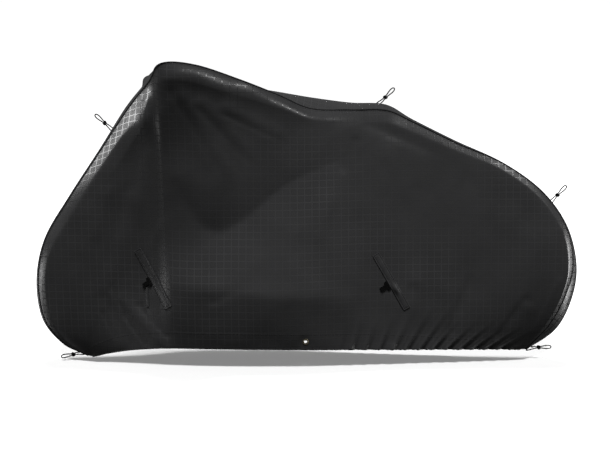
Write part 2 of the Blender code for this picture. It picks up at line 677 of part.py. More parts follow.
def build_knot(name, root, axis, beside):
    """The knot: a lumpy ring round both strands, with a long narrow bore."""
    up = np.cross(axis, beside)
    sides = 12
    space = LOOP_HALF[STRAND_ROW][1]
    bore = (space + CORD / 2 + KNOT_GAP, CORD / 2 + KNOT_GAP)
    body = (bore[0] + 0.0024, bore[1] + 0.0032)
    middle = (KNOT_FROM + KNOT_TO) / 2
    reach = (KNOT_TO - KNOT_FROM) / 2
    rings = ((bore, -0.75), (body, -0.55), (body, 0.45), (bore, 0.75))
    grow = (1.0, 1.0, 1.12, 1.0)
    verts = []
    for (size, share), more in zip(rings, grow):
        centre = root + (middle + share * reach * 1.3) * axis
        for k in range(sides):
            a = 2 * math.pi * k / sides
            verts.append(centre + more * (size[0] * math.cos(a) * beside + size[1] * math.sin(a) * up))
    faces = []
    for ring in range(4):
        for k in range(sides):
            a, b = ring * sides + k, ring * sides + (k + 1) % sides
            c, d = ((ring + 1) % 4) * sides + (k + 1) % sides, ((ring + 1) % 4) * sides + k
            faces.append([a, b, c, d])
    ob = add_object(f"knot_{name}", verts, faces, DARK_CORD)
    bm = bmesh.new()
    bm.from_mesh(ob.data)
    bmesh.ops.recalc_face_normals(bm, faces=bm.faces)
    bm.to_mesh(ob.data)
    bm.free()


build_panels()
for side_name, side in (("near", -1), ("far", 1)):
    build_eyelet(side_name)
    build_flaps(side_name, side)
sewn_strip("strap_end", STRAP, STRAP_WIDE, STRAP_THICK, -1, 5, FLAP_CLOTH)
for loop in LOOPS:
    build_loop(*loop)
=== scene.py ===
# %% [markdown]
# # A fitted outdoor cover of coated ripstop cloth
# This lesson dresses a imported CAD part. The part gives every size and place; the cells
# below make the cloth, the sewn trim, the cord loops, their finishes, the light and the
# camera. Nearly every surface is a function of two numbers, worked out on a grid with
# numpy and handed to Blender in one go. That keeps a form easy to read and to change:
# a fold is one row of a table.

# %% load the solids and keep their box
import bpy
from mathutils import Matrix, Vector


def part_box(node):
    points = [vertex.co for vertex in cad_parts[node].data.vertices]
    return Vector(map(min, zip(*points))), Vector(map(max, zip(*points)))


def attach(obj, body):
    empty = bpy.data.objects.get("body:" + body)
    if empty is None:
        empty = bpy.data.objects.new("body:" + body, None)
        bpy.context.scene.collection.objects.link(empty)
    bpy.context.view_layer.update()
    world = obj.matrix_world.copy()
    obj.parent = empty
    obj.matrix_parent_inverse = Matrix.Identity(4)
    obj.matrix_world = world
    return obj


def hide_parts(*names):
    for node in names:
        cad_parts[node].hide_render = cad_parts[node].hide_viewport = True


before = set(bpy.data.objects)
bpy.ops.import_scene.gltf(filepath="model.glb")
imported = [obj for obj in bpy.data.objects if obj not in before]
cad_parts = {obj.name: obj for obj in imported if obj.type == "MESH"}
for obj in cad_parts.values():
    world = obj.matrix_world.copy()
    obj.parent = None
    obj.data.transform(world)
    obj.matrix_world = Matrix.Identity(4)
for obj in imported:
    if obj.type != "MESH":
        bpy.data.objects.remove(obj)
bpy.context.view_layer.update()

import math

import bpy
import numpy as np
from mathutils import Vector
from mathutils.bvhtree import BVHTree

# %% [markdown]
# ## The camera
# The object was taken from about 4 m away, level with the cover's upper half, with the
# lens tilted down a little. Distance decides how much narrower the far side looks, so it
# is set first; the focal length then only decides the size in the image. Lengths in this
# lesson are measured along the cover from its middle, and heights from 18 mm above the
# ground. ORIGIN, the CAD part's own zero, lies under the cloth at the cover's top.

# %% camera
CLOTH = 0.0018
TOP_X, TOP_Z = -0.560, 1.071
ORIGIN = np.array([TOP_X, 0.0, TOP_Z - CLOTH])
GROUND = -0.018
IMAGE_WIDTH, FOCAL_PIXELS, LEVEL_ABOVE_MIDDLE = 610, 1067, 80
SENSOR = 36.0
CAMERA_AWAY, CAMERA_HIGH = 4.0, 0.80
camera_data = bpy.data.cameras.new("camera")
camera_data.sensor_width = SENSOR
camera_data.lens = SENSOR * FOCAL_PIXELS / IMAGE_WIDTH
camera = bpy.data.objects.new("camera", camera_data)
camera.location = np.array([0.0, -CAMERA_AWAY, CAMERA_HIGH]) - ORIGIN
tilt_down = math.atan(LEVEL_ABOVE_MIDDLE / FOCAL_PIXELS)
camera.rotation_euler = (math.radians(90) - tilt_down, 0.0, 0.0)
bpy.context.collection.objects.link(camera)
bpy.context.scene.camera = camera
print("lens", round(camera_data.lens, 1), "mm at", np.round(camera.location, 3))

# %% [markdown]
# ## Meshes from grids
# A grid of points becomes a mesh by joining each point to its neighbours. Three helpers
# serve the whole lesson: one for an open or wrapped grid, one for a closed sheet with an
# outer and an inner grid, and one that turns a line into a tube. The UV map called flat
# holds where each point lay on the cloth before it was sewn, in metres, so a woven
# pattern keeps its real size however the cloth bends.

# %% grid helpers
def unit(v):
    """Vectors of length one."""
    return v / np.maximum(np.linalg.norm(v, axis=-1, keepdims=True), 1e-12)


def length_along(line):
    """How far along a line each of its points lies: the sum of the steps before it."""
    return np.concatenate(([0], np.cumsum(np.linalg.norm(np.diff(line, axis=0), axis=1))))


def looked_up(at, run, values):
    """Each column of values at the places at, on straight lines between those of run."""
    return np.stack([np.interp(at, run, column) for column in values.T], axis=1)


def finish_mesh(name, points, faces, flat=None, materials=(), sharp=50, more=()):
    """A mesh object at the origin from an array of points and an array of faces. more
    holds faces with other numbers of corners; edges over sharp degrees stay crisp."""
    mesh = bpy.data.meshes.new(name)
    points = np.asarray(points, dtype=float).reshape(-1, 3)
    mesh.from_pydata(points, [], faces.tolist() + list(more))
    if flat is not None:
        corner = np.empty(len(mesh.loops), dtype=np.int32)
        mesh.loops.foreach_get("vertex_index", corner)
        layer = mesh.uv_layers.new(name="flat")
        layer.data.foreach_set("uv", np.asarray(flat, dtype=float).reshape(-1, 2)[corner].ravel())
    for material in materials:
        mesh.materials.append(material)
    mesh.shade_smooth()
    mesh.set_sharp_from_angle(angle=math.radians(sharp))
    piece = bpy.data.objects.new(name, mesh)
    bpy.context.collection.objects.link(piece)
    return piece


def grid_faces(n, m, wrap_rows=False, wrap_columns=False):
    """Four-cornered faces of an n by m grid of points; a wrapped grid joins its ends."""
    number = np.arange(n * m).reshape(n, m)
    if wrap_columns:
        number = np.concatenate((number, number[:1]), axis=0)
    if wrap_rows:
        number = np.concatenate((number, number[:, :1]), axis=1)
    return np.stack((number[:-1, :-1], number[1:, :-1], number[1:, 1:], number[:-1, 1:]),
                    axis=-1).reshape(-1, 4)


def closed_sheet(name, outer, inner, flat, materials, keep=None):
    """A thin solid: an outer grid, the same grid on its inner side, and a wall on every
    edge that only one face has, so an opening in the sheet gets its wall too. keep says
    which cells of the grid stay. A second material goes on the inner side."""
    n, m = outer.shape[:2]
    top = grid_faces(n, m)
    if keep is not None:
        top = top[keep.ravel()]
    a, b = top.ravel(), np.roll(top, -1, axis=1).ravel()
    border = ~np.isin(a * n * m + b, b * n * m + a)
    a, b = a[border], b[border]
    walls = np.stack((b, a, a + n * m, b + n * m), axis=1)
    used, faces = np.unique(np.concatenate((top, top[:, ::-1] + n * m, walls)), return_inverse=True)
    points = np.concatenate((outer.reshape(-1, 3), inner.reshape(-1, 3)))[used]
    flat = np.concatenate((flat, flat)).reshape(-1, 2)[used]
    piece = finish_mesh(name, points, faces.reshape(-1, 4), flat, materials)
    if len(materials) > 1:
        inside = np.zeros(2 * len(top) + len(walls), dtype=np.int32)
        inside[len(top):2 * len(top)] = 1
        piece.data.polygons.foreach_set("material_index", inside)
    return piece


def rings_round(path, along, across, radius, sides):
    """Rings of points round a line: the radius times the cosine of a turn towards across,
    and times its sine towards the direction square to across and along."""
    other = np.cross(along, across)
    turn = np.linspace(0, 2 * math.pi, sides, endpoint=False)
    radius = np.broadcast_to(np.asarray(radius, dtype=float), (len(path),))
    ring = (np.cos(turn)[None, :, None] * across[:, None]
            + np.sin(turn)[None, :, None] * other[:, None])
    return path[:, None] + radius[:, None, None] * ring


CAP_SIZES = np.array([0.0, 0.5, 0.85])[:, None, None]
CAP_REACHES = np.array([1.0, 0.8, 0.5])
CAP_LONG = 0.6


def tube_piece(name, path, radius, sides, first_across, materials):
    """A closed tube with rounded ends: each ring lies across the line's direction there.
    first_across is a direction that the line never runs along, and radius may change
    along the line. flat is the place round the tube and along it, in metres."""
    length = length_along(path)
    along = unit(np.gradient(path, axis=0))
    across = unit(np.cross(along, np.asarray(first_across, dtype=float)))
    rings = rings_round(path, along, across, radius, sides)
    mean = float(np.mean(radius))
    reach = CAP_REACHES * mean
    first = (path[0] + (rings[0] - path[0])[None] * CAP_SIZES
             - reach[:, None, None] * along[0] * CAP_LONG)
    last = (path[-1] + (rings[-1] - path[-1])[None] * CAP_SIZES[::-1]
            + reach[::-1, None, None] * along[-1] * CAP_LONG)
    rings = np.concatenate((first, rings, last))
    length = np.concatenate((length[0] - reach, length, length[-1] + reach[::-1]))
    around = np.linspace(0, 2 * math.pi * mean, sides, endpoint=False)
    flat = np.stack(np.broadcast_arrays(around[None, :], length[:, None]), axis=-1)
    faces = grid_faces(len(rings), sides, wrap_rows=True)[:, ::-1]
    return finish_mesh(name, rings, faces, flat, materials)


def smooth_rows(table, t):
    """Values of a table between its rows, on a smooth curve through them: each stretch
    is a cubic whose slope at a row is half the step between the rows around it."""
    rows = np.asarray(table, dtype=float)
    padded = np.vstack((2 * rows[0] - rows[1], rows, 2 * rows[-1] - rows[-2]))
    k = np.clip(np.floor(t).astype(int), 0, len(rows) - 2)
    f = (t - k)[:, None]
    a, b, c, d = padded[k], padded[k + 1], padded[k + 2], padded[k + 3]
    return b + 0.5 * f * (c - a + f * (2 * a - 5 * b + 4 * c - d + f * (3 * (b - c) + d - a)))


print("helpers ready")

# %% [markdown]
# ## Finishes: a small way to write node trees
# A finish is a graph of nodes. Written out in full, each node takes four lines, so a few
# helpers shorten it: step adds a node and wires or sets its inputs, noise and spread add
# the two used most, and ramp turns one number into a colour or a height at chosen places.
# Patterns read the flat UV map, in metres, or the object's own coordinates; nothing
# depends on where the camera is.

# %% node helpers
def new_finish(name, colour, roughness, metallic=0.0):
    """An empty finish; returns it with its node tree and its shader."""
    material = bpy.data.materials.new(name)
    material.use_nodes = True
    shader = material.node_tree.nodes["Principled BSDF"]
    shader.inputs["Base Color"].default_value = (*colour, 1.0)
    shader.inputs["Roughness"].default_value = roughness
    shader.inputs["Metallic"].default_value = metallic
    return material, material.node_tree, shader


def step(tree, kind, inputs=(), **settings):
    """Adds a node. Each of inputs is a value, or a socket to wire in."""
    node = tree.nodes.new(kind)
    for key, value in settings.items():
        setattr(node, key, value)
    pairs = inputs.items() if isinstance(inputs, dict) else enumerate(inputs)
    for key, value in pairs:
        if isinstance(value, bpy.types.NodeSocket):
            tree.links.new(value, node.inputs[key])
        else:
            node.inputs[key].default_value = value
    return node


def maths(tree, operation, *values):
    return step(tree, "ShaderNodeMath", values, operation=operation).outputs[0]


def noise(tree, place, scale, detail, roughness=0.5):
    """Cloudy values about 0.5, with scale clouds to a metre."""
    return step(tree, "ShaderNodeTexNoise", {"Vector": place, "Scale": scale, "Detail": detail,
                                             "Roughness": roughness}).outputs[0]


def spread(tree, value, *limits):
    """Carries a number from one range to another; limits are both ends of the first
    range and both ends of the second."""
    return step(tree, "ShaderNodeMapRange", (value, *limits)).outputs[0]


def ramp(tree, value, stops):
    """A ramp from a number to greys or colours; stops are (place, grey or colour)."""
    node = step(tree, "ShaderNodeValToRGB", (value,))
    node.color_ramp.interpolation = "EASE"
    for index, (place, colour) in enumerate(stops):
        colour = (colour,) * 3 if isinstance(colour, (int, float)) else colour
        if index < 2:
            stop = node.color_ramp.elements[index]
            stop.position = place
        else:
            stop = node.color_ramp.elements.new(place)
        stop.color = (*colour, 1.0)
    return node.outputs[0]


def flat_place(tree):
    """The two flat coordinates of the cloth, in metres."""
    uv = step(tree, "ShaderNodeUVMap", uv_map="flat")
    parts = step(tree, "ShaderNodeSeparateXYZ", (uv.outputs[0],))
    return uv.outputs[0], parts.outputs[0], parts.outputs[1]


def bump(tree, shader, height, distance, normal=None):
    """Turns a height into a surface detail; several can be chained."""
    node = step(tree, "ShaderNodeBump", {"Height": height, "Strength": 1.0, "Distance": distance})
    if normal is not None:
        tree.links.new(normal, node.inputs["Normal"])
    tree.links.new(node.outputs[0], shader.inputs["Normal"])
    return node.outputs[0]


print("node helpers ready")

# %% [markdown]
# ## The coated ripstop
# Ripstop is a thin plain weave with a heavier thread every so often, both ways, so a tear
# stops at the next heavy thread. Here the heavy threads are 26 mm apart. Each stands a
# little proud and shines, and its colour is painted lighter than the cells: a painted
# sheen for the light the raised thread catches. Beside it the weave is drawn into a faint
# dark line that runs round inside each square; that line is a groove, painted darker as
# painted shade in it. In patches set by a slow noise, the lines and the groove fade to the
# plain cell colour. The distance from the nearest heavy thread gives all of it: it drives
# the colour, the roughness and the height. The weave itself is far finer and only softens
# the gloss.

# %% ripstop finish
RIPSTOP_PITCH = 0.0262


def ripstop_finish(name, cell, line, groove, rough_cell, rough_line):
    """Square cells: the larger of the two distances from the cell's middle, in cells, is
    0 in the middle and 0.5 on a heavy thread."""
    material, tree, shader = new_finish(name, cell, rough_cell)
    place, u, v = flat_place(tree)
    from_middle = []
    for coordinate in (u, v):
        cells = maths(tree, "MULTIPLY", coordinate, 1 / RIPSTOP_PITCH)
        share = maths(tree, "FRACT", cells)
        from_middle.append(maths(tree, "ABSOLUTE", maths(tree, "SUBTRACT", share, 0.5)))
    outer = maths(tree, "MAXIMUM", *from_middle)
    cloud = noise(tree, place, 9.0, 3.0)
    fine = noise(tree, place, 420.0, 2.0)
    # line is painted lighter as a painted sheen on the heavy threads; groove is painted darker as
    # painted shade beside them.
    colour = ramp(tree, outer, [(0.0, cell), (1.0, line), (0.30, cell), (0.335, groove),
                                (0.37, cell), (0.420, cell), (0.445, line)])
    region = noise(tree, place, 2.3, 1.0)
    clear = spread(tree, region, 0.35, 0.62, 0.15, 1.0)
    seen = step(tree, "ShaderNodeMix", {0: clear, 6: (*cell, 1.0), 7: colour}, data_type="RGBA")
    shade = spread(tree, cloud, 0.3, 0.7, 0.93, 1.07)
    mixed = step(tree, "ShaderNodeVectorMath", (seen.outputs[2], shade), operation="MULTIPLY")
    tree.links.new(mixed.outputs[0], shader.inputs["Base Color"])
    rough = ramp(tree, outer, [(0.0, rough_cell), (1.0, rough_line), (0.42, rough_cell),
                               (0.445, rough_line)])
    drift = spread(tree, cloud, 0.3, 0.7, -0.035, 0.035)
    tree.links.new(maths(tree, "ADD", rough, drift), shader.inputs["Roughness"])
    pillow = ramp(tree, outer, [(0.0, 0.62), (1.0, 1.0), (0.28, 0.42), (0.335, 0.05),
                                (0.40, 0.30), (0.46, 1.0)])
    squares = bump(tree, shader, pillow, 0.00008)
    crinkle = noise(tree, place, 55.0, 4.0, 0.55)
    softly = bump(tree, shader, crinkle, 0.0004, squares)
    bump(tree, shader, fine, 0.00003, softly)
    return material


COATED_CLOTH = ripstop_finish("coated cloth", (0.0250, 0.0250, 0.0256), (0.034, 0.034, 0.035),
                              (0.0200, 0.0200, 0.0205), 0.37, 0.19)
print("made", COATED_CLOTH.name)

# %% [markdown]
# ## The other finishes
# The inside of the cloth is uncoated: duller, a little greyer, with the same threads
# showing through. The lock flaps are a closer plain cloth. The pull tabs are moulded
# rubber, the loops a braided cord, the thread is black polyester and the eyelets are
# brass with a dark patina in their hollows.

# %% other finishes
def woven_finish(name, colour, roughness, pitch, depth, cockle=0.0002):
    """A plain weave: two sets of ridges a half step apart, from sines of the flat place.
    cockle is how uneven the cloth lies."""
    material, tree, shader = new_finish(name, colour, roughness)
    place, u, v = flat_place(tree)
    warp = maths(tree, "SINE", maths(tree, "MULTIPLY", u, 2 * math.pi / pitch))
    weft = maths(tree, "SINE", maths(tree, "MULTIPLY", v, 2 * math.pi / pitch))
    weave = maths(tree, "MULTIPLY", warp, weft)
    cloud = noise(tree, place, 30.0, 3.0)
    shade = spread(tree, cloud, 0.3, 0.7, 0.8, 1.2)
    lit = spread(tree, weave, -1.0, 1.0, 0.8, 1.2)
    both = maths(tree, "MULTIPLY", shade, lit)
    mixed = step(tree, "ShaderNodeVectorMath", {0: colour, "Scale": both}, operation="SCALE")
    tree.links.new(mixed.outputs[0], shader.inputs["Base Color"])
    ridges = bump(tree, shader, weave, depth)
    bump(tree, shader, cloud, cockle, ridges)
    return material


def solid_finish(name, colour, roughness, metallic, grain, depth, dark):
    """A moulded or cast finish: cloudy colour between dark and full, and a fine grain."""
    material, tree, shader = new_finish(name, colour, roughness, metallic)
    place = step(tree, "ShaderNodeTexCoord").outputs["Object"]
    cloud = noise(tree, place, grain * 0.2, 4.0)
    grit = noise(tree, place, grain, 3.0)
    tint = ramp(tree, cloud, [(0.30, tuple(c * dark for c in colour)), (0.65, colour)])
    tree.links.new(tint, shader.inputs["Base Color"])
    rough = spread(tree, grit, 0.3, 0.7, roughness - 0.06, roughness + 0.06)
    tree.links.new(rough, shader.inputs["Roughness"])
    bump(tree, shader, grit, depth)
    return material


def braided_finish(name, colour, crown_colour, pitch, strands, round_cord):
    """A braid: two sets of slanting ridges that cross, from the place round the cord and
    along it. Where both are high a thread lies on top and the colour is lighter there;
    where both are low it falls to about a third of the cord's colour, painted shade in
    the hollows between the strands."""
    material, tree, shader = new_finish(name, colour, 0.72)
    _, around, along = flat_place(tree)
    turn = maths(tree, "MULTIPLY", around, 2 * math.pi * strands / round_cord)
    run = maths(tree, "MULTIPLY", along, 2 * math.pi / pitch)
    left = maths(tree, "SINE", maths(tree, "ADD", turn, run))
    right = maths(tree, "SINE", maths(tree, "SUBTRACT", turn, run))
    over = maths(tree, "MAXIMUM", left, right)
    # Painted shade in the hollows between the strands; the crowns are lighter.
    tint = ramp(tree, over, [(0.0, tuple(c * 0.35 for c in colour)), (1.0, crown_colour), (0.7, colour)])
    tree.links.new(tint, shader.inputs["Base Color"])
    bump(tree, shader, over, 0.0003)
    return material


INSIDE_CLOTH = woven_finish("inside of the cloth", (0.030, 0.030, 0.032), 0.78, 0.0012, 0.00010)
FLAP_CLOTH = woven_finish("flap cloth", (0.0230, 0.0230, 0.0236), 0.48, 0.0011, 0.00001,
                          0.00003)
THREAD = woven_finish("black thread", (0.012, 0.012, 0.013), 0.55, 0.0008, 0.00003)
# The binding is painted far darker than the cloth: painted shade for the valley along each seam and
# under the hem's edge.
PAINTED_SHADE_BINDING = woven_finish("binding painted dark as shade", (0.010, 0.010, 0.0105), 0.75, 0.0009, 0.00004)
BLACK_RUBBER = solid_finish("black rubber", (0.0030, 0.0030, 0.0030), 0.50, 0.0, 2600.0,
                            0.00008, 0.7)
rubber_shader = BLACK_RUBBER.node_tree.nodes["Principled BSDF"]
rubber_shader.inputs["Specular IOR Level"].default_value = 0.12
AGED_BRASS = solid_finish("aged brass", (0.62, 0.54, 0.37), 0.45, 1.0, 900.0, 0.00004, 0.5)
CORD = 0.0044
DARK_CORD = braided_finish("dark cord", (0.0080, 0.0080, 0.0083), (0.022, 0.022, 0.023), 0.0028,
                           4, math.pi * CORD)
print("finishes:", ", ".join(m.name for m in bpy.data.materials))

# %% [markdown]
# ## Cord loops
# Five loops of thin cord leave the centre strip, as pulls and tie points. A loop is one
# length of cord that leaves the cloth, runs out, turns and comes back beside itself, with
# a knot a third of the way along. Half of it is a short table of how far out the strand
# is and how far from its twin; the other half is its mirror. The points where it leaves
# are found by looking back along its axis to the CAD strip.

# %% loop route
LOOPS = {  # where it leaves, along and up, and its slope in degrees
    "front_low": (-0.847, 0.0155, 192.0),
    "front_high": (-0.723, 0.861, 139.0),
    "top": (0.277, 0.954, 46.0),
    "rear_high": (0.925, 0.590, 46.5),
    "rear_low": (0.854, 0.034, 2.0),
}
EXIT_APART, EXIT_STRAIGHT = 0.0055, 0.0055
OFF_CLOTH, LOOK_FROM, EXIT_LEAN = 0.0006, 0.04, 0.3
LOOP_HALF = (  # distance out from the cloth, and half the space between the strands
    (0.0150, 0.0040),
    (0.0230, 0.0028),
    (0.0270, 0.0025),
    (0.0370, 0.0025),
    (0.0450, 0.0036),
    (0.0560, 0.0054),
    (0.0660, 0.0062),
    (0.0730, 0.0055),
    (0.0775, 0.0034),
    (0.0790, 0.0000),
)


def mesh_arrays(mesh):
    """Points, triangles, normals and areas of a mesh of triangles."""
    points, normals = np.empty(len(mesh.vertices) * 3), np.empty(len(mesh.polygons) * 3)
    corners = np.empty(len(mesh.loops), dtype=np.int32)
    areas = np.empty(len(mesh.polygons))
    mesh.vertices.foreach_get("co", points)
    mesh.loops.foreach_get("vertex_index", corners)
    mesh.polygons.foreach_get("normal", normals)
    mesh.polygons.foreach_get("area", areas)
    return points.reshape(-1, 3), corners.reshape(-1, 3), normals.reshape(-1, 3), areas


def solid_tree(names):
    """A search tree over the faces of several CAD solids."""
    points, corners, count = [], [], 0
    for name in names:
        p, c, _, _ = mesh_arrays(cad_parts[name].data)
        points.append(p)
        corners.append(c + count)
        count += len(p)
    return BVHTree.FromPolygons(np.concatenate(points).tolist(), np.concatenate(corners).tolist())


STRIP_PARTS = ("strip_front_low", "strip_front", "strip_top", "strip_rear", "strip_rear_low")
STRIP_TREE = solid_tree(STRIP_PARTS)


def leaving(root, axis, beside, offset):
    """Two points of a strand: just off the cloth, and further out along its normal."""
    start = root + offset * beside + LOOK_FROM * axis
    hit, normal = STRIP_TREE.ray_cast(Vector(start), Vector(-axis))[:2]
    out = unit(np.array([normal.x, 0.0, normal.z]))
    out = out if out @ axis > 0 else -out
    hit = np.array(hit)
    return [hit + OFF_CLOTH * out, hit + EXIT_STRAIGHT * unit(out + EXIT_LEAN * axis)]


def loop_frame(name):
    """A loop's root, the way it runs, and the way across it in the centre plane."""
    x, z, slope = LOOPS[name]
    turn = math.radians(slope)
    axis = np.array([math.cos(turn), 0.0, math.sin(turn)])
    beside = np.array([-math.sin(turn), 0.0, math.cos(turn)])
    return np.array([x, 0.0, z]) - ORIGIN, axis, beside


def loop_route(name, steps):
    """Out of the cloth, along one half of the table, back along the other, and in."""
    root, axis, beside = loop_frame(name)
    one = [root + a * axis + b * beside for a, b in LOOP_HALF]
    other = [root + a * axis - b * beside for a, b in LOOP_HALF[-2::-1]]
    route = leaving(root, axis, beside, EXIT_APART) + one + other
    route += leaving(root, axis, beside, -EXIT_APART)[::-1]
    return smooth_rows(route, np.linspace(0, len(route) - 1, steps))


# %% [markdown]
# The knot is an overhand knot pulled tight round both strands. A trefoil is the closed
# form of the overhand knot, so a thick tube on a trefoil, squeezed along the strands,
# looks right. One cut end of the cord looks out of it.

# %% loops and knots
KNOT_AT = 0.0320
KNOT_SIZE = np.array([0.0068, 0.0060, 0.0130])
KNOT_STEPS, KNOT_SIDES, KNOT_RADIUS, KNOT_LONG = 96, 12, 0.0023, 0.07
CUT_OUT, CUT_BESIDE, CUT_ABOVE = 0.003, 0.0036, 0.0044
CUT_LONG, CUT_RADIUS, CUT_LEAN = 0.0046, 0.0021, 0.35


def trefoil(steps):
    """The classic trefoil: sin t + 2 sin 2t, cos t - 2 cos 2t, -sin 3t, over a radius
    of 3."""
    t = np.linspace(0, 2 * math.pi, steps, endpoint=False)
    return np.stack((np.sin(t) + 2 * np.sin(2 * t), np.cos(t) - 2 * np.cos(2 * t),
                     -np.sin(3 * t)), axis=1) / 3


def closed_tube_points(path, radius, sides):
    """Rings round a closed line. Each ring's first direction points away from the line's
    middle, so the rings meet without a twist."""
    along = unit(np.roll(path, -1, axis=0) - np.roll(path, 1, axis=0))
    away = unit(path - path.mean(axis=0))
    across = unit(away - (away * along).sum(1, keepdims=True) * along)
    return rings_round(path, along, across, radius, sides)


def make_knot(name):
    root, axis, beside = loop_frame(name)
    up = np.cross(axis, beside)
    shape = trefoil(KNOT_STEPS) * KNOT_SIZE
    path = root + KNOT_AT * axis + shape[:, :1] * beside + shape[:, 1:2] * up + shape[:, 2:] * axis
    rings = closed_tube_points(path, KNOT_RADIUS, KNOT_SIDES)
    faces = grid_faces(KNOT_STEPS, KNOT_SIDES, wrap_rows=True, wrap_columns=True)
    around = np.linspace(0, math.pi * CORD, KNOT_SIDES)
    along = np.linspace(0, KNOT_LONG, KNOT_STEPS)
    flat = np.stack(np.broadcast_arrays(around[None], along[:, None]), axis=-1)
    knot = finish_mesh(f"cord_knot_{name}", rings, faces, flat, [DARK_CORD])
    start = (root + (KNOT_AT + CUT_OUT) * axis + CUT_BESIDE * beside
             - CUT_ABOVE * np.sign(up[1]) * up)
    outward = np.array([0.0, -1.0, 0.0]) + CUT_LEAN * beside
    line = start + np.linspace(0, CUT_LONG, 5)[:, None] * unit(outward)
    end = tube_piece(f"cut_end_{name}", line, CUT_RADIUS, 12, axis, [DARK_CORD])
    return knot, end


for loop_name in LOOPS:
    line = loop_route(loop_name, 150)
    loop = tube_piece(f"cord_loop_{loop_name}", line, CORD / 2, 12, (0, 1, 0), [DARK_CORD])
    knot, cut_end = make_knot(loop_name)
    length = float(np.linalg.norm(np.diff(line, axis=0), axis=1).sum())
    for piece in (loop, knot, cut_end):
        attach(piece, "root")
    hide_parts(f"loop_{loop_name}")
    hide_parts(f"knot_{loop_name}")
    print(loop.name, "is", round(length * 1000), "mm of cord")

# %% [markdown]
# ## The skin of the cover
# The whole cover is one skin, worked out from sections. A section starts on the hem, runs
# straight up the side as seen from the side, and ends on the seam with the centre strip.
# One table row gives the outline, how wide the strip is there, how far the seam lies in
# from the outline, how the cloth rolls away below the seam and where the hem is. The
# solids use this table too, with fewer points, so the cloth lies on them; only the roll
# behind the top is drawn flatter and tighter here.

# %% sections
SECTION_COLUMNS = ("x", "z", "half", "inset", "turn", "roll", "reach",
                   "hem_x", "hem_z", "hem_half", "belly")
SECTIONS = (
    (-0.818, 0.006, 0.040, 0.007, 0.000, 0.004, 0.03, -0.795, 0.009, 0.046, 0.000),
    (-0.913, 0.050, 0.056, 0.016, 0.000, 0.014, 0.04, -0.768, 0.017, 0.058, 0.000),
    (-0.990, 0.148, 0.070, 0.022, 0.000, 0.024, 0.05, -0.740, 0.026, 0.072, 0.002),
    (-1.009, 0.300, 0.080, 0.022, 0.000, 0.034, 0.05, -0.709, 0.034, 0.088, 0.004),
    (-0.974, 0.455, 0.086, 0.017, 0.000, 0.044, 0.05, -0.676, 0.042, 0.104, 0.006),
    (-0.880, 0.612, 0.092, 0.016, 0.000, 0.056, 0.06, -0.642, 0.049, 0.120, 0.006),
    (-0.764, 0.786, 0.100, 0.018, 0.000, 0.075, 0.07, -0.606, 0.055, 0.136, 0.006),
    (-0.667, 0.940, 0.130, 0.020, 0.010, 0.075, 0.09, -0.568, 0.060, 0.152, 0.008),
    (-0.600, 1.025, 0.236, 0.006, 0.048, 0.020, 0.15, -0.525, 0.065, 0.168, 0.014),
    (-0.560, 1.071, 0.320, -0.006, 0.067, -0.060, 0.25, -0.475, 0.068, 0.182, 0.024),
    (-0.430, 1.053, 0.290, -0.022, 0.046, -0.080, 0.25, -0.405, 0.069, 0.196, 0.036),
    (-0.250, 1.018, 0.215, -0.011, 0.018, -0.060, 0.25, -0.300, 0.069, 0.205, 0.045),
    (-0.100, 0.997, 0.168, 0.018, 0.004, -0.030, 0.25, -0.195, 0.068, 0.207, 0.050),
    (0.030, 0.976, 0.125, 0.046, 0.000, 0.000, 0.20, -0.095, 0.067, 0.205, 0.052),
    (0.170, 0.958, 0.100, 0.031, 0.000, 0.014, 0.07, 0.005, 0.065, 0.199, 0.052),
    (0.300, 0.951, 0.100, 0.026, 0.000, 0.018, 0.05, 0.100, 0.063, 0.187, 0.048),
    (0.400, 0.896, 0.099, 0.014, 0.000, 0.012, 0.04, 0.185, 0.061, 0.172, 0.040),
    (0.560, 0.817, 0.097, 0.012, 0.000, 0.010, 0.03, 0.270, 0.058, 0.156, 0.030),
    (0.730, 0.739, 0.096, 0.008, 0.000, 0.012, 0.026, 0.355, 0.055, 0.140, 0.020),
    (0.881, 0.633, 0.093, 0.011, 0.000, 0.018, 0.026, 0.440, 0.052, 0.124, 0.012),
    (0.978, 0.505, 0.090, 0.018, 0.000, 0.034, 0.028, 0.521, 0.050, 0.109, 0.008),
    (1.020, 0.360, 0.086, 0.032, 0.000, 0.036, 0.032, 0.599, 0.047, 0.094, 0.004),
    (1.008, 0.230, 0.080, 0.047, 0.000, 0.030, 0.034, 0.673, 0.044, 0.078, 0.002),
    (0.949, 0.107, 0.066, 0.047, 0.000, 0.018, 0.04, 0.742, 0.041, 0.062, 0.000),
    (0.837, 0.027, 0.042, 0.012, 0.000, 0.004, 0.03, 0.806, 0.036, 0.046, 0.000),
)
LAST_SECTION = len(SECTIONS) - 1
NEAR, FAR = -1, 1
SIDES = ((NEAR, "near"), (FAR, "far"))


def sections(t):
    """The table's columns at sections t, each under its name."""
    return dict(zip(SECTION_COLUMNS, smooth_rows(SECTIONS, t).T))


def inward(t):
    """Unit vectors in the centre plane, across the outline and into the cover."""
    before, after = (smooth_rows(SECTIONS, np.clip(t + shift, 0, LAST_SECTION))[:, :2]
                     for shift in (-0.01, 0.01))
    along = unit(after - before)
    return np.stack((along[:, 1], -along[:, 0]), axis=1)


def seam_and_hem(t, side):
    """Where sections t meet the seam and the hem. The seam lies in from the outline."""
    s, n = sections(t), inward(t)
    seam = np.stack((s["x"] + s["inset"] * n[:, 0] - side * s["turn"], side * s["half"],
                     s["z"] + s["inset"] * n[:, 1]), axis=1)
    hem = np.stack((s["hem_x"], side * s["hem_half"], s["hem_z"]), axis=1)
    return seam, hem


print(len(SECTIONS), "sections, from", SECTIONS[0][0], "to", max(row[0] for row in SECTIONS))

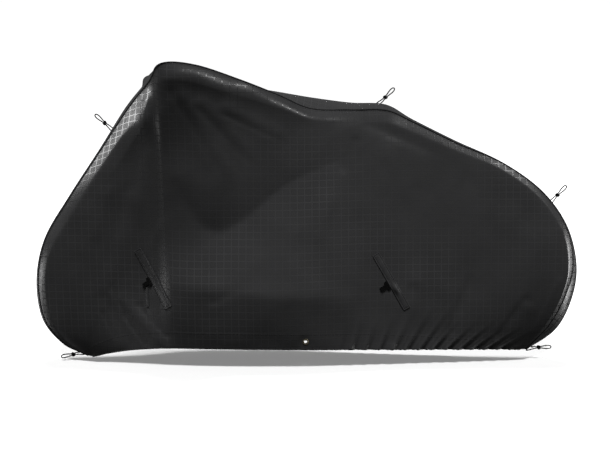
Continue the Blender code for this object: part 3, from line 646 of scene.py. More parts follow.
# %% [markdown]
# ## Folds
# Cloth that hangs from one high place falls in soft pipes that fan out from it. Each fold
# is a row: a line on the side view, how wide the fold is on either side of it, and how
# far it stands out, at its start and at its end. The two widths differ where a fold has
# one steep side, which is what makes a crease look folded and not merely wavy. The
# height of a fold is a bell of the distance from its line.

# %% fold tables
FOLD_COLUMNS = ("x0", "z0", "x1", "z1", "left", "right", "out0", "out1")
MAIN_NEAR_FOLDS = (
    (-0.420, 0.955, -0.265, 0.685, 0.040, 0.034, 0.007, 0.003),
    (-0.355, 0.938, -0.187, 0.755, 0.034, 0.030, 0.006, 0.002),
    (-0.275, 0.920, -0.085, 0.833, 0.028, 0.030, 0.005, 0.002),
    (-0.500, 0.900, -0.500, 0.640, 0.050, 0.050, 0.004, 0.002),
    (-0.730, 0.620, -0.800, 0.420, 0.030, 0.034, 0.003, 0.002),
    (-0.620, 0.600, -0.680, 0.360, 0.030, 0.034, 0.003, 0.002),
    (0.110, 0.680, 0.050, 0.480, 0.040, 0.030, 0.003, 0.002),
    (0.090, 0.600, -0.320, 0.290, 0.060, 0.060, 0.003, 0.002),
    (-0.660, 0.240, -0.500, 0.070, 0.028, 0.026, 0.002, 0.003),
    (-0.740, 0.240, -0.640, 0.080, 0.025, 0.025, -0.002, -0.002),
    (0.400, 0.300, 0.330, 0.060, 0.030, 0.026, 0.003, 0.005),
    (0.620, 0.300, 0.560, 0.060, 0.036, 0.030, 0.003, 0.004),
    (0.860, 0.450, 0.820, 0.220, 0.040, 0.035, 0.003, 0.003),
)
MAIN_FAR_FOLDS = (
    (-0.460, 0.950, -0.300, 0.680, 0.040, 0.036, 0.007, 0.003),
    (-0.360, 0.940, -0.160, 0.740, 0.036, 0.032, 0.006, 0.002),
    (-0.600, 0.880, -0.590, 0.600, 0.045, 0.045, 0.004, 0.003),
    (0.150, 0.700, -0.240, 0.360, 0.060, 0.055, 0.006, 0.006),
    (0.200, 0.780, 0.230, 0.500, 0.040, 0.040, -0.004, -0.003),
    (-0.760, 0.600, -0.800, 0.320, 0.035, 0.035, 0.003, 0.003),
    (0.600, 0.400, 0.520, 0.060, 0.040, 0.035, 0.003, 0.005),
    (-0.640, 0.260, -0.520, 0.070, 0.030, 0.030, 0.006, 0.006),
)
FINE_NEAR_FOLDS = (
    (-0.458, 0.976, -0.283, 0.676, 0.012, 0.024, -0.003, -0.001),
    (-0.370, 0.923, -0.202, 0.740, 0.010, 0.022, -0.003, -0.001),
    (-0.282, 0.905, -0.092, 0.818, 0.010, 0.020, -0.003, -0.001),
    (-0.560, 0.760, -0.620, 0.470, 0.020, 0.026, 0.0016, 0.001),
    (-0.700, 0.640, -0.760, 0.470, 0.016, 0.024, 0.0018, 0.001),
    (-0.640, 0.640, -0.720, 0.380, 0.016, 0.024, -0.0018, -0.001),
    (-0.512, 0.520, -0.550, 0.440, 0.014, 0.020, 0.0015, 0.001),
    (-0.345, 0.470, -0.372, 0.300, 0.020, 0.030, 0.0018, 0.001),
    (0.181, 0.818, 0.145, 0.728, 0.010, 0.018, -0.003, -0.001),
    (0.127, 0.692, 0.047, 0.474, 0.010, 0.022, 0.0022, 0.001),
    (0.237, 0.873, 0.456, 0.782, 0.020, 0.040, -0.004, -0.002),
    (-0.707, 0.277, -0.632, 0.133, 0.010, 0.020, -0.0018, -0.001),
    (-0.607, 0.212, -0.502, 0.110, 0.008, 0.018, -0.0024, -0.002),
    (-0.664, 0.175, -0.588, 0.075, 0.008, 0.016, -0.0022, -0.002),
    (-0.745, 0.180, -0.705, 0.095, 0.008, 0.016, -0.0016, -0.001),
    (-0.676, 0.235, -0.500, 0.062, 0.010, 0.018, 0.0016, 0.001),
    (-0.593, 0.216, -0.556, 0.115, 0.008, 0.014, -0.0018, -0.001),
    (-0.320, 0.245, -0.215, 0.300, 0.016, 0.030, -0.003, -0.001),
    (0.381, 0.276, 0.327, 0.093, 0.012, 0.026, -0.003, -0.003),
    (0.601, 0.310, 0.530, 0.126, 0.012, 0.028, -0.002, -0.003),
    (0.858, 0.454, 0.825, 0.233, 0.016, 0.030, -0.0022, -0.002),
    (0.806, 0.233, 0.717, 0.104, 0.012, 0.024, -0.0025, -0.003),
    (0.930, 0.300, 0.850, 0.110, 0.012, 0.022, 0.0018, 0.0015),
)
FINE_FAR_FOLDS = (
    (-0.480, 0.960, -0.300, 0.640, 0.012, 0.026, -0.003, -0.001),
    (-0.400, 0.940, -0.160, 0.740, 0.012, 0.024, 0.003, 0.001),
    (-0.570, 0.880, -0.600, 0.520, 0.018, 0.026, -0.002, -0.001),
    (-0.700, 0.640, -0.760, 0.430, 0.016, 0.026, 0.002, 0.001),
    (0.190, 0.820, 0.150, 0.700, 0.012, 0.020, -0.003, -0.001),
    (0.120, 0.640, 0.000, 0.420, 0.018, 0.030, 0.002, 0.001),
    (0.240, 0.870, 0.460, 0.780, 0.020, 0.040, -0.004, -0.002),
    (-0.640, 0.220, -0.530, 0.100, 0.010, 0.018, -0.004, -0.003),
    (-0.300, 0.260, -0.180, 0.300, 0.016, 0.030, -0.003, -0.001),
    (0.600, 0.320, 0.520, 0.120, 0.014, 0.028, -0.003, -0.003),
    (0.840, 0.420, 0.800, 0.200, 0.016, 0.030, -0.002, -0.002),
)


def fold_height(x, z, folds):
    """Sum of the folds: each a bell of the distance from its line, narrow on one side and
    wide on the other, and its height runs evenly from start to end."""
    total = np.zeros_like(x)
    for row in folds:
        f = dict(zip(FOLD_COLUMNS, row))
        dx, dz = f["x1"] - f["x0"], f["z1"] - f["z0"]
        share = np.clip(((x - f["x0"]) * dx + (z - f["z0"]) * dz) / (dx * dx + dz * dz), 0, 1)
        off_x, off_z = x - f["x0"] - share * dx, z - f["z0"] - share * dz
        away = np.hypot(off_x, off_z)
        lean = (dx * off_z - dz * off_x) / np.maximum(away * math.hypot(dx, dz), 1e-9)
        wide = f["left"] + (f["right"] - f["left"]) * (lean + 1) / 2
        total += (f["out0"] + share * (f["out1"] - f["out0"])) * np.exp(-(away / wide) ** 2)
    return total


# %% [markdown]
# The deepest form on the side is a tuck: cloth that hangs from the top falls inwards to a
# line, and below it the side hangs straight again. The front edge has the opposite, a
# crest where the cloth turns from the front to the side. Both are bent lines with a
# height, and the height dies away evenly with the distance from the line. Every stretch
# of the line has its say at a point, the near ones most, so that no step shows where two
# stretches are equally near. Both sides have the crest, and only the near side the tuck.

# %% the tuck and the front crest
TUCK = (  # x, z, how deep
    (-0.450, 0.690, 0.000),
    (-0.405, 0.582, 0.022),
    (-0.330, 0.491, 0.052),
    (-0.233, 0.530, 0.049),
    (-0.076, 0.655, 0.033),
    (0.070, 0.728, 0.015),
    (0.200, 0.790, 0.000),
)
TUCK_ABOVE, TUCK_BELOW, TUCK_ROUND = 0.15, 0.42, 0.005
CREST = (  # x, z, how far out
    (-0.548, 1.010, 0.018),
    (-0.554, 0.950, 0.040),
    (-0.566, 0.885, 0.038),
    (-0.603, 0.828, 0.020),
    (-0.658, 0.747, 0.009),
    (-0.712, 0.676, 0.004),
    (-0.800, 0.530, 0.000),
)
CREST_BEHIND, CREST_AHEAD, CREST_ROUND = 0.055, 0.050, 0.006
LINE_BLEND = 0.02


def beside_line(x, z, table, above_wide, below_wide, roundness):
    """The line's height times exp(-distance / wide), with the crease at the line rounded
    off; wide differs above and below the line. The stretches of the line are averaged,
    each weighed by exp(-distance / LINE_BLEND)."""
    total, weight = np.zeros_like(x), np.zeros_like(x)
    line = smooth_rows(table, np.linspace(0, len(table) - 1, 8 * len(table)))
    for (x0, z0, high0), (x1, z1, high1) in zip(line[:-1], line[1:]):
        dx, dz = x1 - x0, z1 - z0
        share = np.clip(((x - x0) * dx + (z - z0) * dz) / (dx * dx + dz * dz), 0, 1)
        away = np.hypot(x - x0 - share * dx, z - z0 - share * dz)
        above = (z - z0) * dx - (x - x0) * dz > 0
        rounded = np.sqrt(away ** 2 + roundness ** 2) - roundness
        say = np.exp(-away / LINE_BLEND)
        total += say * (high0 + share * (high1 - high0)) * np.exp(
            -rounded / np.where(above, above_wide, below_wide))
        weight += say
    return total / weight


print("folds:", len(MAIN_NEAR_FOLDS) + len(FINE_NEAR_FOLDS), "near,",
      len(MAIN_FAR_FOLDS) + len(FINE_FAR_FOLDS), "far; tuck of", len(TUCK), "rows")

# %% [markdown]
# ## Gathers
# Elastic in the rear half of the hem draws the cloth up into small pleats, about 50 mm
# apart, that lean back as they rise. A plain wave would look like a curtain tape; real
# gathers have one steep side and are all of different height. So the wave is a cosine
# with two sines of twice and thrice its rate, and a short table gives how far up the
# side each pleat reaches. A few long waves keep the rest of the cloth from lying even.

# %% gathers and small unevenness
PLEAT_PITCH, PLEATS_FROM, PLEATS_TO = 0.050, 0.115, 0.790
PLEAT_OUT, PLEATS_START, PLEATS_STOP = 0.005, 0.04, 0.03
PLEAT_HEIGHTS = (0.045, 0.060, 0.050, 0.070, 0.062, 0.080, 0.100, 0.066, 0.058, 0.072, 0.054,
                 0.064, 0.060, 0.050)


def gathers(hem_x, up):
    """Out by a wave along the hem, which fades up the side over the pleat's own height."""
    place = (hem_x - PLEATS_FROM) / PLEAT_PITCH
    high = np.interp(place, np.arange(len(PLEAT_HEIGHTS)), PLEAT_HEIGHTS)
    phase = 2 * math.pi * place
    wave = (np.cos(phase) + 0.42 * np.sin(2 * phase) + 0.18 * np.sin(3 * phase + 0.6)) / 1.2
    ends = (np.clip((hem_x - PLEATS_FROM) / PLEATS_START, 0, 1)
            * np.clip((PLEATS_TO - hem_x) / PLEATS_STOP, 0, 1))
    return PLEAT_OUT * wave * np.exp(-(np.maximum(up, 0) / high) ** 1.5) * ends


UNEVEN_SEEDS, UNEVEN_WAVES, UNEVEN_STEEP = {NEAR: 41, FAR: 43}, 14, 0.0012


def unevenness(x, z, side):
    """Long shallow waves in different directions, under 0.3 mm each, that keep wide areas
    from looking moulded."""
    total = np.zeros_like(x)
    random = np.random.default_rng(UNEVEN_SEEDS[side])
    for _ in range(UNEVEN_WAVES):
        turn, pitch = random.uniform(0, math.pi), random.uniform(0.07, 0.24)
        start, size = random.uniform(0, 2 * math.pi), random.uniform(0.3, 1.0)
        total += size * pitch * UNEVEN_STEEP * np.sin(
            2 * math.pi * (x * math.cos(turn) + z * math.sin(turn)) / pitch + start)
    return total


# %% [markdown]
# ## One side of the cover
# With the folds in hand, a side is one function of two numbers: the section, and the
# share of the way from hem to seam. Its distance from the middle plane is the sum of the
# plain run from hem to seam, the roll and the shoulder below the seam, the hollow under
# the top, the belly above the hem, the folds, the tuck, the front crest and the gathers.
# The folds fade out at the seam, which the strip holds. Rows crowd towards the hem and
# the seam, where the cloth bends most.

# %% the side as a function
BELLY_AT, BELLY_BEND, BELLY_TOP_BEND = 0.22, 0.09, 0.1
HEM_BAND, HEM_STEP, HEM_STEP_LONG = 0.060, 0.0004, 0.006
SEAM_HOLDS, HEM_HOLDS, TUCK_FADES = 0.05, 0.02, 0.3
SHOULDER_BACK = 0.25
HOLLOW_DOWN, HOLLOW_BEND, HOLLOW_FADES = 0.45, 0.25, 0.9
EYELET_REACH, EYELET_LET_GO = 0.034, 0.020
# Each row of the tables below is a section and the value there.
SHOULDER_OUT = ((8.6, 0.000), (9.3, 0.032), (10.7, 0.032), (11.2, 0.018), (11.8, 0.024),
                (13.4, 0.020), (14.3, 0.000))
SHOULDER_REACH = ((10.5, 0.062), (12.5, 0.040))
HOLLOW = ((7, 0.000), (8, 0.012), (9, 0.028), (9.7, 0.020), (10.5, 0.006), (12, 0.000))
BELLY_SHARE = ((7, 0.5), (8, 1.0), (9, 1.9), (10, 1.9), (11, 1.7), (12, 1.65), (13, 1.5),
               (14, 1.1), (15, 0.65), (16.5, 0.3))
BELLY_TOP = ((8, 0.85), (11, 0.90), (13, 0.95))


def smooth_limit(q, bend):
    """Runs evenly up to 1 and stays there, with a rounded corner between."""
    return (q + 1 - np.sqrt((q - 1) ** 2 + bend ** 2)) / 2


def smooth_ramp(q):
    """From 0 to 1, level at both ends: 3 q squared less 2 q cubed."""
    q = np.clip(q, 0, 1)
    return q * q * (3 - 2 * q)


def rolled(q):
    """How the cloth turns over from the strip to the side, in shares of its reach: a
    straight slope, a rather sharp bend, and a slow last part."""
    return 0.68 * smooth_limit(q / 0.9, 0.12) + 0.32 * (1 - np.exp(-q / 2))


def by_section(table, t):
    """A table's value at sections t, on straight lines between its rows."""
    return np.interp(t, *np.array(table).T)


def shoulder(t, down):
    """Below the seam, along the top, the cloth first goes on outwards in half a parabola
    and then comes back slowly."""
    high, reach = by_section(SHOULDER_OUT, t), by_section(SHOULDER_REACH, t)
    q = np.clip(down / reach, 0, 1)
    return high * q * (2 - q) * np.exp(-np.maximum(down - reach, 0) / SHOULDER_BACK)


def hollow(t, down, v):
    """Below the widest place at the top the side hangs inwards, then straight."""
    return (by_section(HOLLOW, t) * smooth_limit(down / HOLLOW_DOWN, HOLLOW_BEND)
            * smooth_ramp(v / HOLLOW_FADES))


def swelling(v, t):
    """The belly: it comes out evenly above the hem and goes back evenly up to its top."""
    high = np.maximum(v - BELLY_AT, 0) / (by_section(BELLY_TOP, t) - BELLY_AT)
    back = smooth_limit(np.sqrt(high ** 2 + 0.01) - BELLY_TOP_BEND, BELLY_TOP_BEND)
    return by_section(BELLY_SHARE, t) * smooth_limit(v / BELLY_AT, BELLY_BEND) * (1 - back)


def eyelet_axis(side_name, side):
    """Centre of an eyelet, and the way out of the flat solid that holds it: the normal
    of that solid's largest face on its outer side."""
    _, _, normals, areas = mesh_arrays(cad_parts[f"{side_name}_hem_eyelet"].data)
    out = normals[np.argmax(areas * (normals[:, 1] * side > 0.5))]
    return np.mean(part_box(f"{side_name}_eyelet"), axis=0), out


EYELETS = {side_name: eyelet_axis(side_name, side) for side, side_name in SIDES}


def flat_at_eyelet(x, z, out, side):
    """Draws the cloth onto the eyelet's plane close to it, and lets go further away."""
    centre, normal = EYELETS["near" if side < 0 else "far"]
    face = centre + CLOTH / 2 * normal + ORIGIN
    plane = face[1] - ((x - face[0]) * normal[0] + (z - face[2]) * normal[2]) / normal[1]
    away = np.hypot(x - face[0], z - face[2])
    hold = smooth_ramp((EYELET_REACH - away) / EYELET_LET_GO)
    return out + hold * (side * plane - out)


def side_points(t, v, side):
    """Points of one side at sections t (a column) and shares v; v is 0 on the hem."""
    seam, hem = seam_and_hem(t, side)
    s = {key: value[:, None] for key, value in sections(t).items()}
    length = np.hypot(seam[:, 0] - hem[:, 0], seam[:, 2] - hem[:, 2])[:, None]
    x = hem[:, :1] + (seam[:, :1] - hem[:, :1]) * v
    z = hem[:, 2:] + (seam[:, 2:] - hem[:, 2:]) * v
    down, up = (1 - v) * length, v * length
    out = s["hem_half"] * (1 - v) + s["half"] * v
    roll = np.where(s["roll"] > 0, rolled(down / s["reach"]), 1 - np.exp(-down / s["reach"]))
    out = out + s["roll"] * roll * v + shoulder(t[:, None], down) - hollow(t[:, None], down, v)
    out = out + s["belly"] * swelling(v, t[:, None])
    free = 1 - np.exp(-(down / SEAM_HOLDS) ** 2)
    low = 1 - np.exp(-(up / HEM_HOLDS) ** 2)
    main, fine = ((MAIN_NEAR_FOLDS, FINE_NEAR_FOLDS) if side < 0
                  else (MAIN_FAR_FOLDS, FINE_FAR_FOLDS))
    out = out + free * (fold_height(x, z, main) + fold_height(x, z, fine))
    out = out + free * low * unevenness(x, z, side)
    if side < 0:
        tuck = beside_line(x, z, TUCK, TUCK_ABOVE, TUCK_BELOW, TUCK_ROUND)
        out = out - free * smooth_ramp(v / TUCK_FADES) * tuck
    out = out + free * beside_line(x, z, CREST, CREST_BEHIND, CREST_AHEAD, CREST_ROUND)
    out = out + gathers(s["hem_x"] + 0 * v, up)
    out = out + HEM_STEP * np.clip((HEM_BAND - up) / HEM_STEP_LONG, 0, 1)
    out = flat_at_eyelet(x, z, out, side)
    return np.stack((x, side * out, z), axis=2)


def crowded(count, pull=0.09):
    """Shares from 0 to 1, closer together at both ends."""
    even = np.linspace(0, 1, count)
    return even - pull * np.sin(2 * math.pi * even)


def flat_side(points, hem_x, hem_z, seam_x, seam_z):
    """Where each point lay on the flat cloth: along the section's own direction in the
    side view, by the real length of cloth from the hem."""
    run = np.linalg.norm(np.diff(points, axis=1), axis=2)
    length = np.concatenate((np.zeros((len(points), 1)), np.cumsum(run, axis=1)), axis=1)
    way = unit(np.stack((seam_x - hem_x, seam_z - hem_z), axis=1))
    return np.stack((hem_x[:, None] + way[:, :1] * length, hem_z[:, None] + way[:, 1:] * length),
                    axis=-1)


COLUMNS, ROWS = 300, 150
T = np.linspace(0, LAST_SECTION, COLUMNS)


def side_skin(side):
    """One side's grid of points in the part's own frame, and where they lay flat."""
    v = crowded(ROWS)[None, :] + 0 * T[:, None]
    points = side_points(T, v, side)
    seam, hem = seam_and_hem(T, side)
    flat = flat_side(points, hem[:, 0], hem[:, 2], seam[:, 0], seam[:, 2])
    return points - ORIGIN, flat


NEAR_SKIN, NEAR_FLAT = side_skin(NEAR)
FAR_SKIN, FAR_FLAT = side_skin(FAR)
print("side grids", NEAR_SKIN.shape, "near side reaches y", round(NEAR_SKIN[..., 1].min(), 3))

# %% [markdown]
# ## The centre strip
# The strip runs over the cover's back from the front hem to the rear hem. Across it the
# cloth hangs in a parabola between the two seams and the middle line. It is cut with its
# threads square to its length, so its flat place is the length along the middle and the
# distance from it.

# %% the strip as a function
ACROSS_STRIP = 40


def strip_points(t, w):
    """w is -1 on the near seam, 0 in the middle, 1 on the far seam."""
    near, _ = seam_and_hem(t, NEAR)
    far, _ = seam_and_hem(t, FAR)
    s = sections(t)
    middle = np.stack((s["x"], 0 * s["x"], s["z"]), axis=1)[:, None, :]
    half_across = ((far - near) / 2)[:, None, :]
    dip = ((far + near) / 2)[:, None, :] - middle
    return middle + half_across * w[..., None] + dip * (w ** 2)[..., None]


W = np.linspace(-1, 1, ACROSS_STRIP + 1)[None, :] + 0 * T[:, None]
STRIP_SKIN = strip_points(T, W) - ORIGIN
middle_line = STRIP_SKIN[:, ACROSS_STRIP // 2]
along_strip = length_along(middle_line)
wide = np.linalg.norm(STRIP_SKIN[:, -1] - STRIP_SKIN[:, 0], axis=1)[:, None] / 2
STRIP_FLAT = np.stack((along_strip[:, None] + 0 * W, W * wide), axis=-1)
print("strip is", round(along_strip[-1], 2), "m long and", round(2 * wide.min(), 2), "to",
      round(2 * wide.max(), 2), "m wide")

# %% [markdown]
# ## Cloth with a thickness
# The skins become thin closed sheets. Each outer point moves in along the surface's own
# normal to give the inner side. A side sheet stands for the panel solids and the hem
# solids of its side, because on the real cover the hem is the same cloth, turned and
# sewn. The hem piece keeps its hole for the eyelet: faces inside the hole are left out
# and the points around it are drawn onto its circle.

# %% make the three cloths
SHEET = 0.0009
HOLE, HOLE_MARGIN = 0.0074, 0.0012
HEM_PARTS = ("hem_front", "hem_eyelet", "hem_rear")
PANEL_PARTS = ("panel_front", "panel_middle", "panel_rear")


def grid_normals(points):
    """Unit normals of a grid, from the steps along its columns and its rows."""
    return unit(np.cross(np.gradient(points, axis=0), np.gradient(points, axis=1)))


def cloth_area(points):
    """Half the cross product of each cell's two diagonals, summed."""
    a, b = points[1:, 1:] - points[:-1, :-1], points[1:, :-1] - points[:-1, 1:]
    return float(np.linalg.norm(np.cross(a, b), axis=2).sum() / 2)


def cut_hole(skin, side_name):
    """Cells close to the eyelet's axis are left out, the points round them move onto the
    hole's circle, and any other point that is too close moves out a little."""
    centre, axis = EYELETS[side_name]
    off = skin - centre
    rise = (off @ axis)[..., None] * axis
    flat_off = off - rise
    away = np.linalg.norm(flat_off, axis=2)
    cell = (away[1:, 1:] + away[:-1, 1:] + away[1:, :-1] + away[:-1, :-1]) / 4
    keep = (cell > HOLE * 0.8) | (np.linalg.norm(off, axis=2)[1:, 1:] > 0.05)
    gone = np.zeros((4, *away.shape), dtype=bool)
    for k, (i, j) in enumerate(((0, 0), (1, 0), (1, 1), (0, 1))):
        gone[k, i:away.shape[0] - 1 + i, j:away.shape[1] - 1 + j] = ~keep
    border = gone.any(axis=0)
    target = np.where(border, HOLE, np.maximum(away, HOLE + HOLE_MARGIN))
    near = np.linalg.norm(off, axis=2) < 0.02
    moved = centre + rise + flat_off / np.maximum(away, 1e-6)[..., None] * target[..., None]
    return np.where(near[..., None], moved, skin), keep


def make_cloth(name, skin, flat, replaced, hole=None):
    """A skin as a closed sheet, coated outside and plain inside. hole names the side whose
    eyelet it is cut for."""
    normals, keep = grid_normals(skin), None
    if hole:
        skin, keep = cut_hole(skin, hole)
    cloth = closed_sheet(name, skin, skin - SHEET * normals, flat, [COATED_CLOTH, INSIDE_CLOTH],
                         keep)
    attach(cloth, "root")
    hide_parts(*replaced)
    return cloth


near_cloth = make_cloth("near_side_cloth", NEAR_SKIN, NEAR_FLAT,
                        [f"near_{p}" for p in PANEL_PARTS + HEM_PARTS], "near")
far_cloth = make_cloth("far_side_cloth", FAR_SKIN[:, ::-1], FAR_FLAT[:, ::-1],
                       [f"far_{p}" for p in PANEL_PARTS + HEM_PARTS], "far")
strip_cloth = make_cloth("centre_strip_cloth", STRIP_SKIN, STRIP_FLAT, STRIP_PARTS)
print("cloth areas", [round(cloth_area(s), 2) for s in (NEAR_SKIN, FAR_SKIN, STRIP_SKIN)], "m2")

# %% [markdown]
# ## Sewn edges
# A welt runs along each seam, where the edges of the panel and the strip are turned in
# together and stand up a little. On the real cover the hem holds an elastic cord in a
# narrow roll, of which only the roll shows. Both are tubes carried along an edge of the
# skin; the hem's tube swells and thins a little where the cloth is gathered.

# %% welts and hem rolls
# Welts and hem rolls wear the binding, painted dark as shade along the seams and under the hem.
WELT = 0.0027
HEM_ROLL, HEM_ROLL_IN, SWELL, GATHERED_BEHIND = 0.0032, 0.0012, 0.10, 0.6
EDGE_ACROSS = (0, 1, 0.02)


def edge_line(side, share, count, off=0.0):
    """Points of one side along its length at a share of its height, and the way out there."""
    t = np.linspace(0, LAST_SECTION, count)
    v = np.broadcast_to(share, (count,))[:, None]
    line = side_points(t, v, side)[:, 0] - ORIGIN
    nearby = side_points(t, v - 0.004, side)[:, 0] - ORIGIN
    out = unit(np.cross(np.gradient(line, axis=0), line - nearby)) * -side
    return line + off * out, out


edges = []
for side, side_name in SIDES:
    seam_line, _ = edge_line(side, 1.0, 700)
    edges.append(tube_piece(f"{side_name}_seam_welt", seam_line, WELT, 10, EDGE_ACROSS, [PAINTED_SHADE_BINDING]))
    hem_line, out = edge_line(side, 0.0, 900)
    waves = np.sin(np.arange(900) * 0.9) * (hem_line[:, 0] > GATHERED_BEHIND)
    edges.append(tube_piece(f"{side_name}_hem_roll", hem_line - HEM_ROLL_IN * out,
                            HEM_ROLL * (1 + SWELL * waves), 12, EDGE_ACROSS, [PAINTED_SHADE_BINDING]))
for piece in edges:
    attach(piece, "root")
print("welts and rolls:", ", ".join(piece.name for piece in edges))

# %% [markdown]
# ## Stitches
# A lock stitch shows as short, slightly fat dashes with a gap between. One small capsule
# of two dozen faces is laid at every step of a line, in one mesh for each row. The
# capsule is a table of rings; its points are turned and moved for all stitches at once.

# %% stitch rows
STITCH_PITCH, STITCH_LONG, STITCH_WIDE = 0.0042, 0.0030, 0.00075
SEAM_STITCH_IN, HEM_STITCH_IN, HEM_STITCH_MOST, STITCH_LIFT = 0.006, 0.004, 0.44, 0.0003
STITCH_RINGS = np.array(((-1.0, 0.35), (-0.6, 0.95), (0.6, 0.95), (1.0, 0.35)))


def resample(line, pitch):
    """Places along a line at an even pitch, the line's direction there, and the share of
    its length."""
    run = length_along(line)
    count = max(2, int(round(run[-1] / pitch)))
    at = (np.arange(count) + 0.5) * run[-1] / count
    before, after = looked_up(at - pitch / 3, run, line), looked_up(at + pitch / 3, run, line)
    return looked_up(at, run, line), unit(after - before), at / run[-1]


def stitch_row(name, line, out, pitch=STITCH_PITCH):
    """Capsules along a line. out is the way off the cloth at each of the line's points."""
    places, along, share = resample(line, pitch)
    where = np.linspace(0, 1, len(line))
    away = unit(looked_up(share, where, out))
    beside = unit(np.cross(along, away))
    turn = np.linspace(0, 2 * math.pi, 6, endpoint=False)
    reach, size = STITCH_RINGS.T
    a = np.repeat(reach[:, None] * STITCH_LONG / 2, 6, axis=1).ravel()
    b = (size[:, None] * np.cos(turn) * STITCH_WIDE / 2).ravel()
    c = (size[:, None] * np.sin(turn) * STITCH_WIDE / 2).ravel()
    points = (places[:, None] + a[None, :, None] * along[:, None]
              + b[None, :, None] * beside[:, None] + c[None, :, None] * away[:, None])
    tube_faces = grid_faces(4, 6, wrap_rows=True)
    ends = np.array(((0, 1, 2, 3), (0, 3, 4, 5), (21, 20, 19, 18), (23, 22, 21, 18)))
    one = np.concatenate((tube_faces[:, ::-1], ends))
    faces = (one[None] + 24 * np.arange(len(places))[:, None, None]).reshape(-1, 4)
    flat = np.stack((b, a), axis=1)[None] + 0 * points[..., :2]
    row = finish_mesh(name, points, faces, flat, [THREAD], sharp=180)
    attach(row, "root")
    return row


rows = {NEAR: [], FAR: []}
for side, side_name in SIDES:
    seam, hem = seam_and_hem(np.linspace(0, LAST_SECTION, 1400), side)
    length = np.hypot(seam[:, 0] - hem[:, 0], seam[:, 2] - hem[:, 2])
    hem_share = np.minimum((HEM_BAND - HEM_STITCH_IN) / length, HEM_STITCH_MOST)
    for what, share in (("seam_stitches", 1 - SEAM_STITCH_IN / length),
                        ("hem_stitches", hem_share)):
        line, out = edge_line(side, share, 1400, STITCH_LIFT)
        rows[side].append(stitch_row(f"{side_name}_{what}", line, out))
print("stitch rows:", sum(len(r) for r in rows.values()))

# %% [markdown]
# ## What is sewn on the sides
# To lay a piece on the cloth its place must be found from its position in the side view.
# A section is a straight line there, so the section through a place is where the cross
# product of two vectors changes sign: from the hem to the place and from the hem to the
# seam. Halving an interval forty times finds it, for all points at once.

# %% finding a place on the cloth
def place_on(x, z, side):
    """Points of the side's skin, at x and z given in the tables' terms, and the way out."""
    x, z = np.asarray(x, dtype=float), np.asarray(z, dtype=float)
    shape = x.shape
    x, z = x.ravel(), z.ravel()

    def crossing(t):
        """The cross product, and the share of the way up the section."""
        seam, hem = seam_and_hem(t, side)
        way_x, way_z = seam[:, 0] - hem[:, 0], seam[:, 2] - hem[:, 2]
        return (x - hem[:, 0]) * way_z - (z - hem[:, 2]) * way_x, (
            (x - hem[:, 0]) * way_x + (z - hem[:, 2]) * way_z) / (way_x ** 2 + way_z ** 2)

    low, high = np.full(x.shape, 1.0), np.full(x.shape, LAST_SECTION - 1.0)
    for _ in range(40):
        middle = (low + high) / 2
        behind = crossing(middle)[0] > 0
        low, high = np.where(behind, middle, low), np.where(behind, high, middle)
    share = crossing(low)[1]
    points = side_points(low, share[:, None], side)[:, 0]
    small = 0.002
    ahead = side_points(low + small, share[:, None], side)[:, 0]
    above = side_points(low, share[:, None] + small, side)[:, 0]
    out = unit(np.cross(ahead - points, above - points)) * -side
    return (points - ORIGIN).reshape(*shape, 3), out.reshape(*shape, 3)


test_points, _ = place_on(np.array([-0.55, 0.3]), np.array([0.32, 0.3]), NEAR)
print("cloth beside the flaps lies at y", np.round(test_points[:, 1], 3))

# %% [markdown]
# ## Lock flaps
# Each flap is a slanting tape with a stitch line 5 mm inside its edge all round, and a
# small stitched oblong half way along. Its outline is a rectangle with round corners,
# and its thickness is a cushion that falls away over the last millimetre, with grooves
# where the stitches pull it down. It lies on the cloth and follows its folds.

# %% flaps
FLAP_WIDE, FLAP_THICK, FLAP_CORNER = 0.028, 0.0022, 0.004
FLAP_ENDS = {"front": ((-0.606, 0.424), (-0.488, 0.218)),
             "rear": ((0.255, 0.407), (0.372, 0.205))}
FLAP_EDGE, GROOVE_DEEP = 0.0014, 0.0007
STITCH_IN, FLAP_STITCH_PITCH = 0.005, 0.0036
OBLONG, OBLONG_CORNER = (0.028, 0.008), 0.003
PUCKER_AT, PUCKER_WIDE = 0.033, 0.010
PUCKER_HIGH = {"front": 0.0012, "rear": 0.0065}
LIFT = 0.0008


def rectangle_depth(a, b, long, wide, corner):
    """How far inside a rectangle with round corners a place is; below zero outside."""
    da, db = np.abs(a) - (long / 2 - corner), np.abs(b) - (wide / 2 - corner)
    outside = np.hypot(np.maximum(da, 0), np.maximum(db, 0))
    return corner - outside - np.minimum(np.maximum(da, db), 0)


def flap_height(a, b, long, pucker_high):
    """The flap's thickness, and a pucker below its middle where the cloth was sewn on a
    little loose."""
    edge = rectangle_depth(a, b, long, FLAP_WIDE, FLAP_CORNER)
    bell = np.exp(-((a - PUCKER_AT) / (2 * PUCKER_WIDE)) ** 2 - (b / PUCKER_WIDE) ** 2)
    pucker = pucker_high * bell * np.clip(edge / 0.004, 0, 1)
    body = np.sqrt(np.clip(1 - (1 - np.clip(edge / FLAP_EDGE, 0, 1)) ** 2, 0, 1))
    groove = np.exp(-((edge - STITCH_IN) / 0.0011) ** 2)
    small = rectangle_depth(a, b, *OBLONG, OBLONG_CORNER)
    groove = np.maximum(groove, np.exp(-(small / 0.0010) ** 2))
    puff = np.clip((edge - STITCH_IN) / 0.006, 0, 1) * 0.0004
    return FLAP_THICK * (0.35 + 0.65 * body) - GROOVE_DEEP * groove + puff + pucker


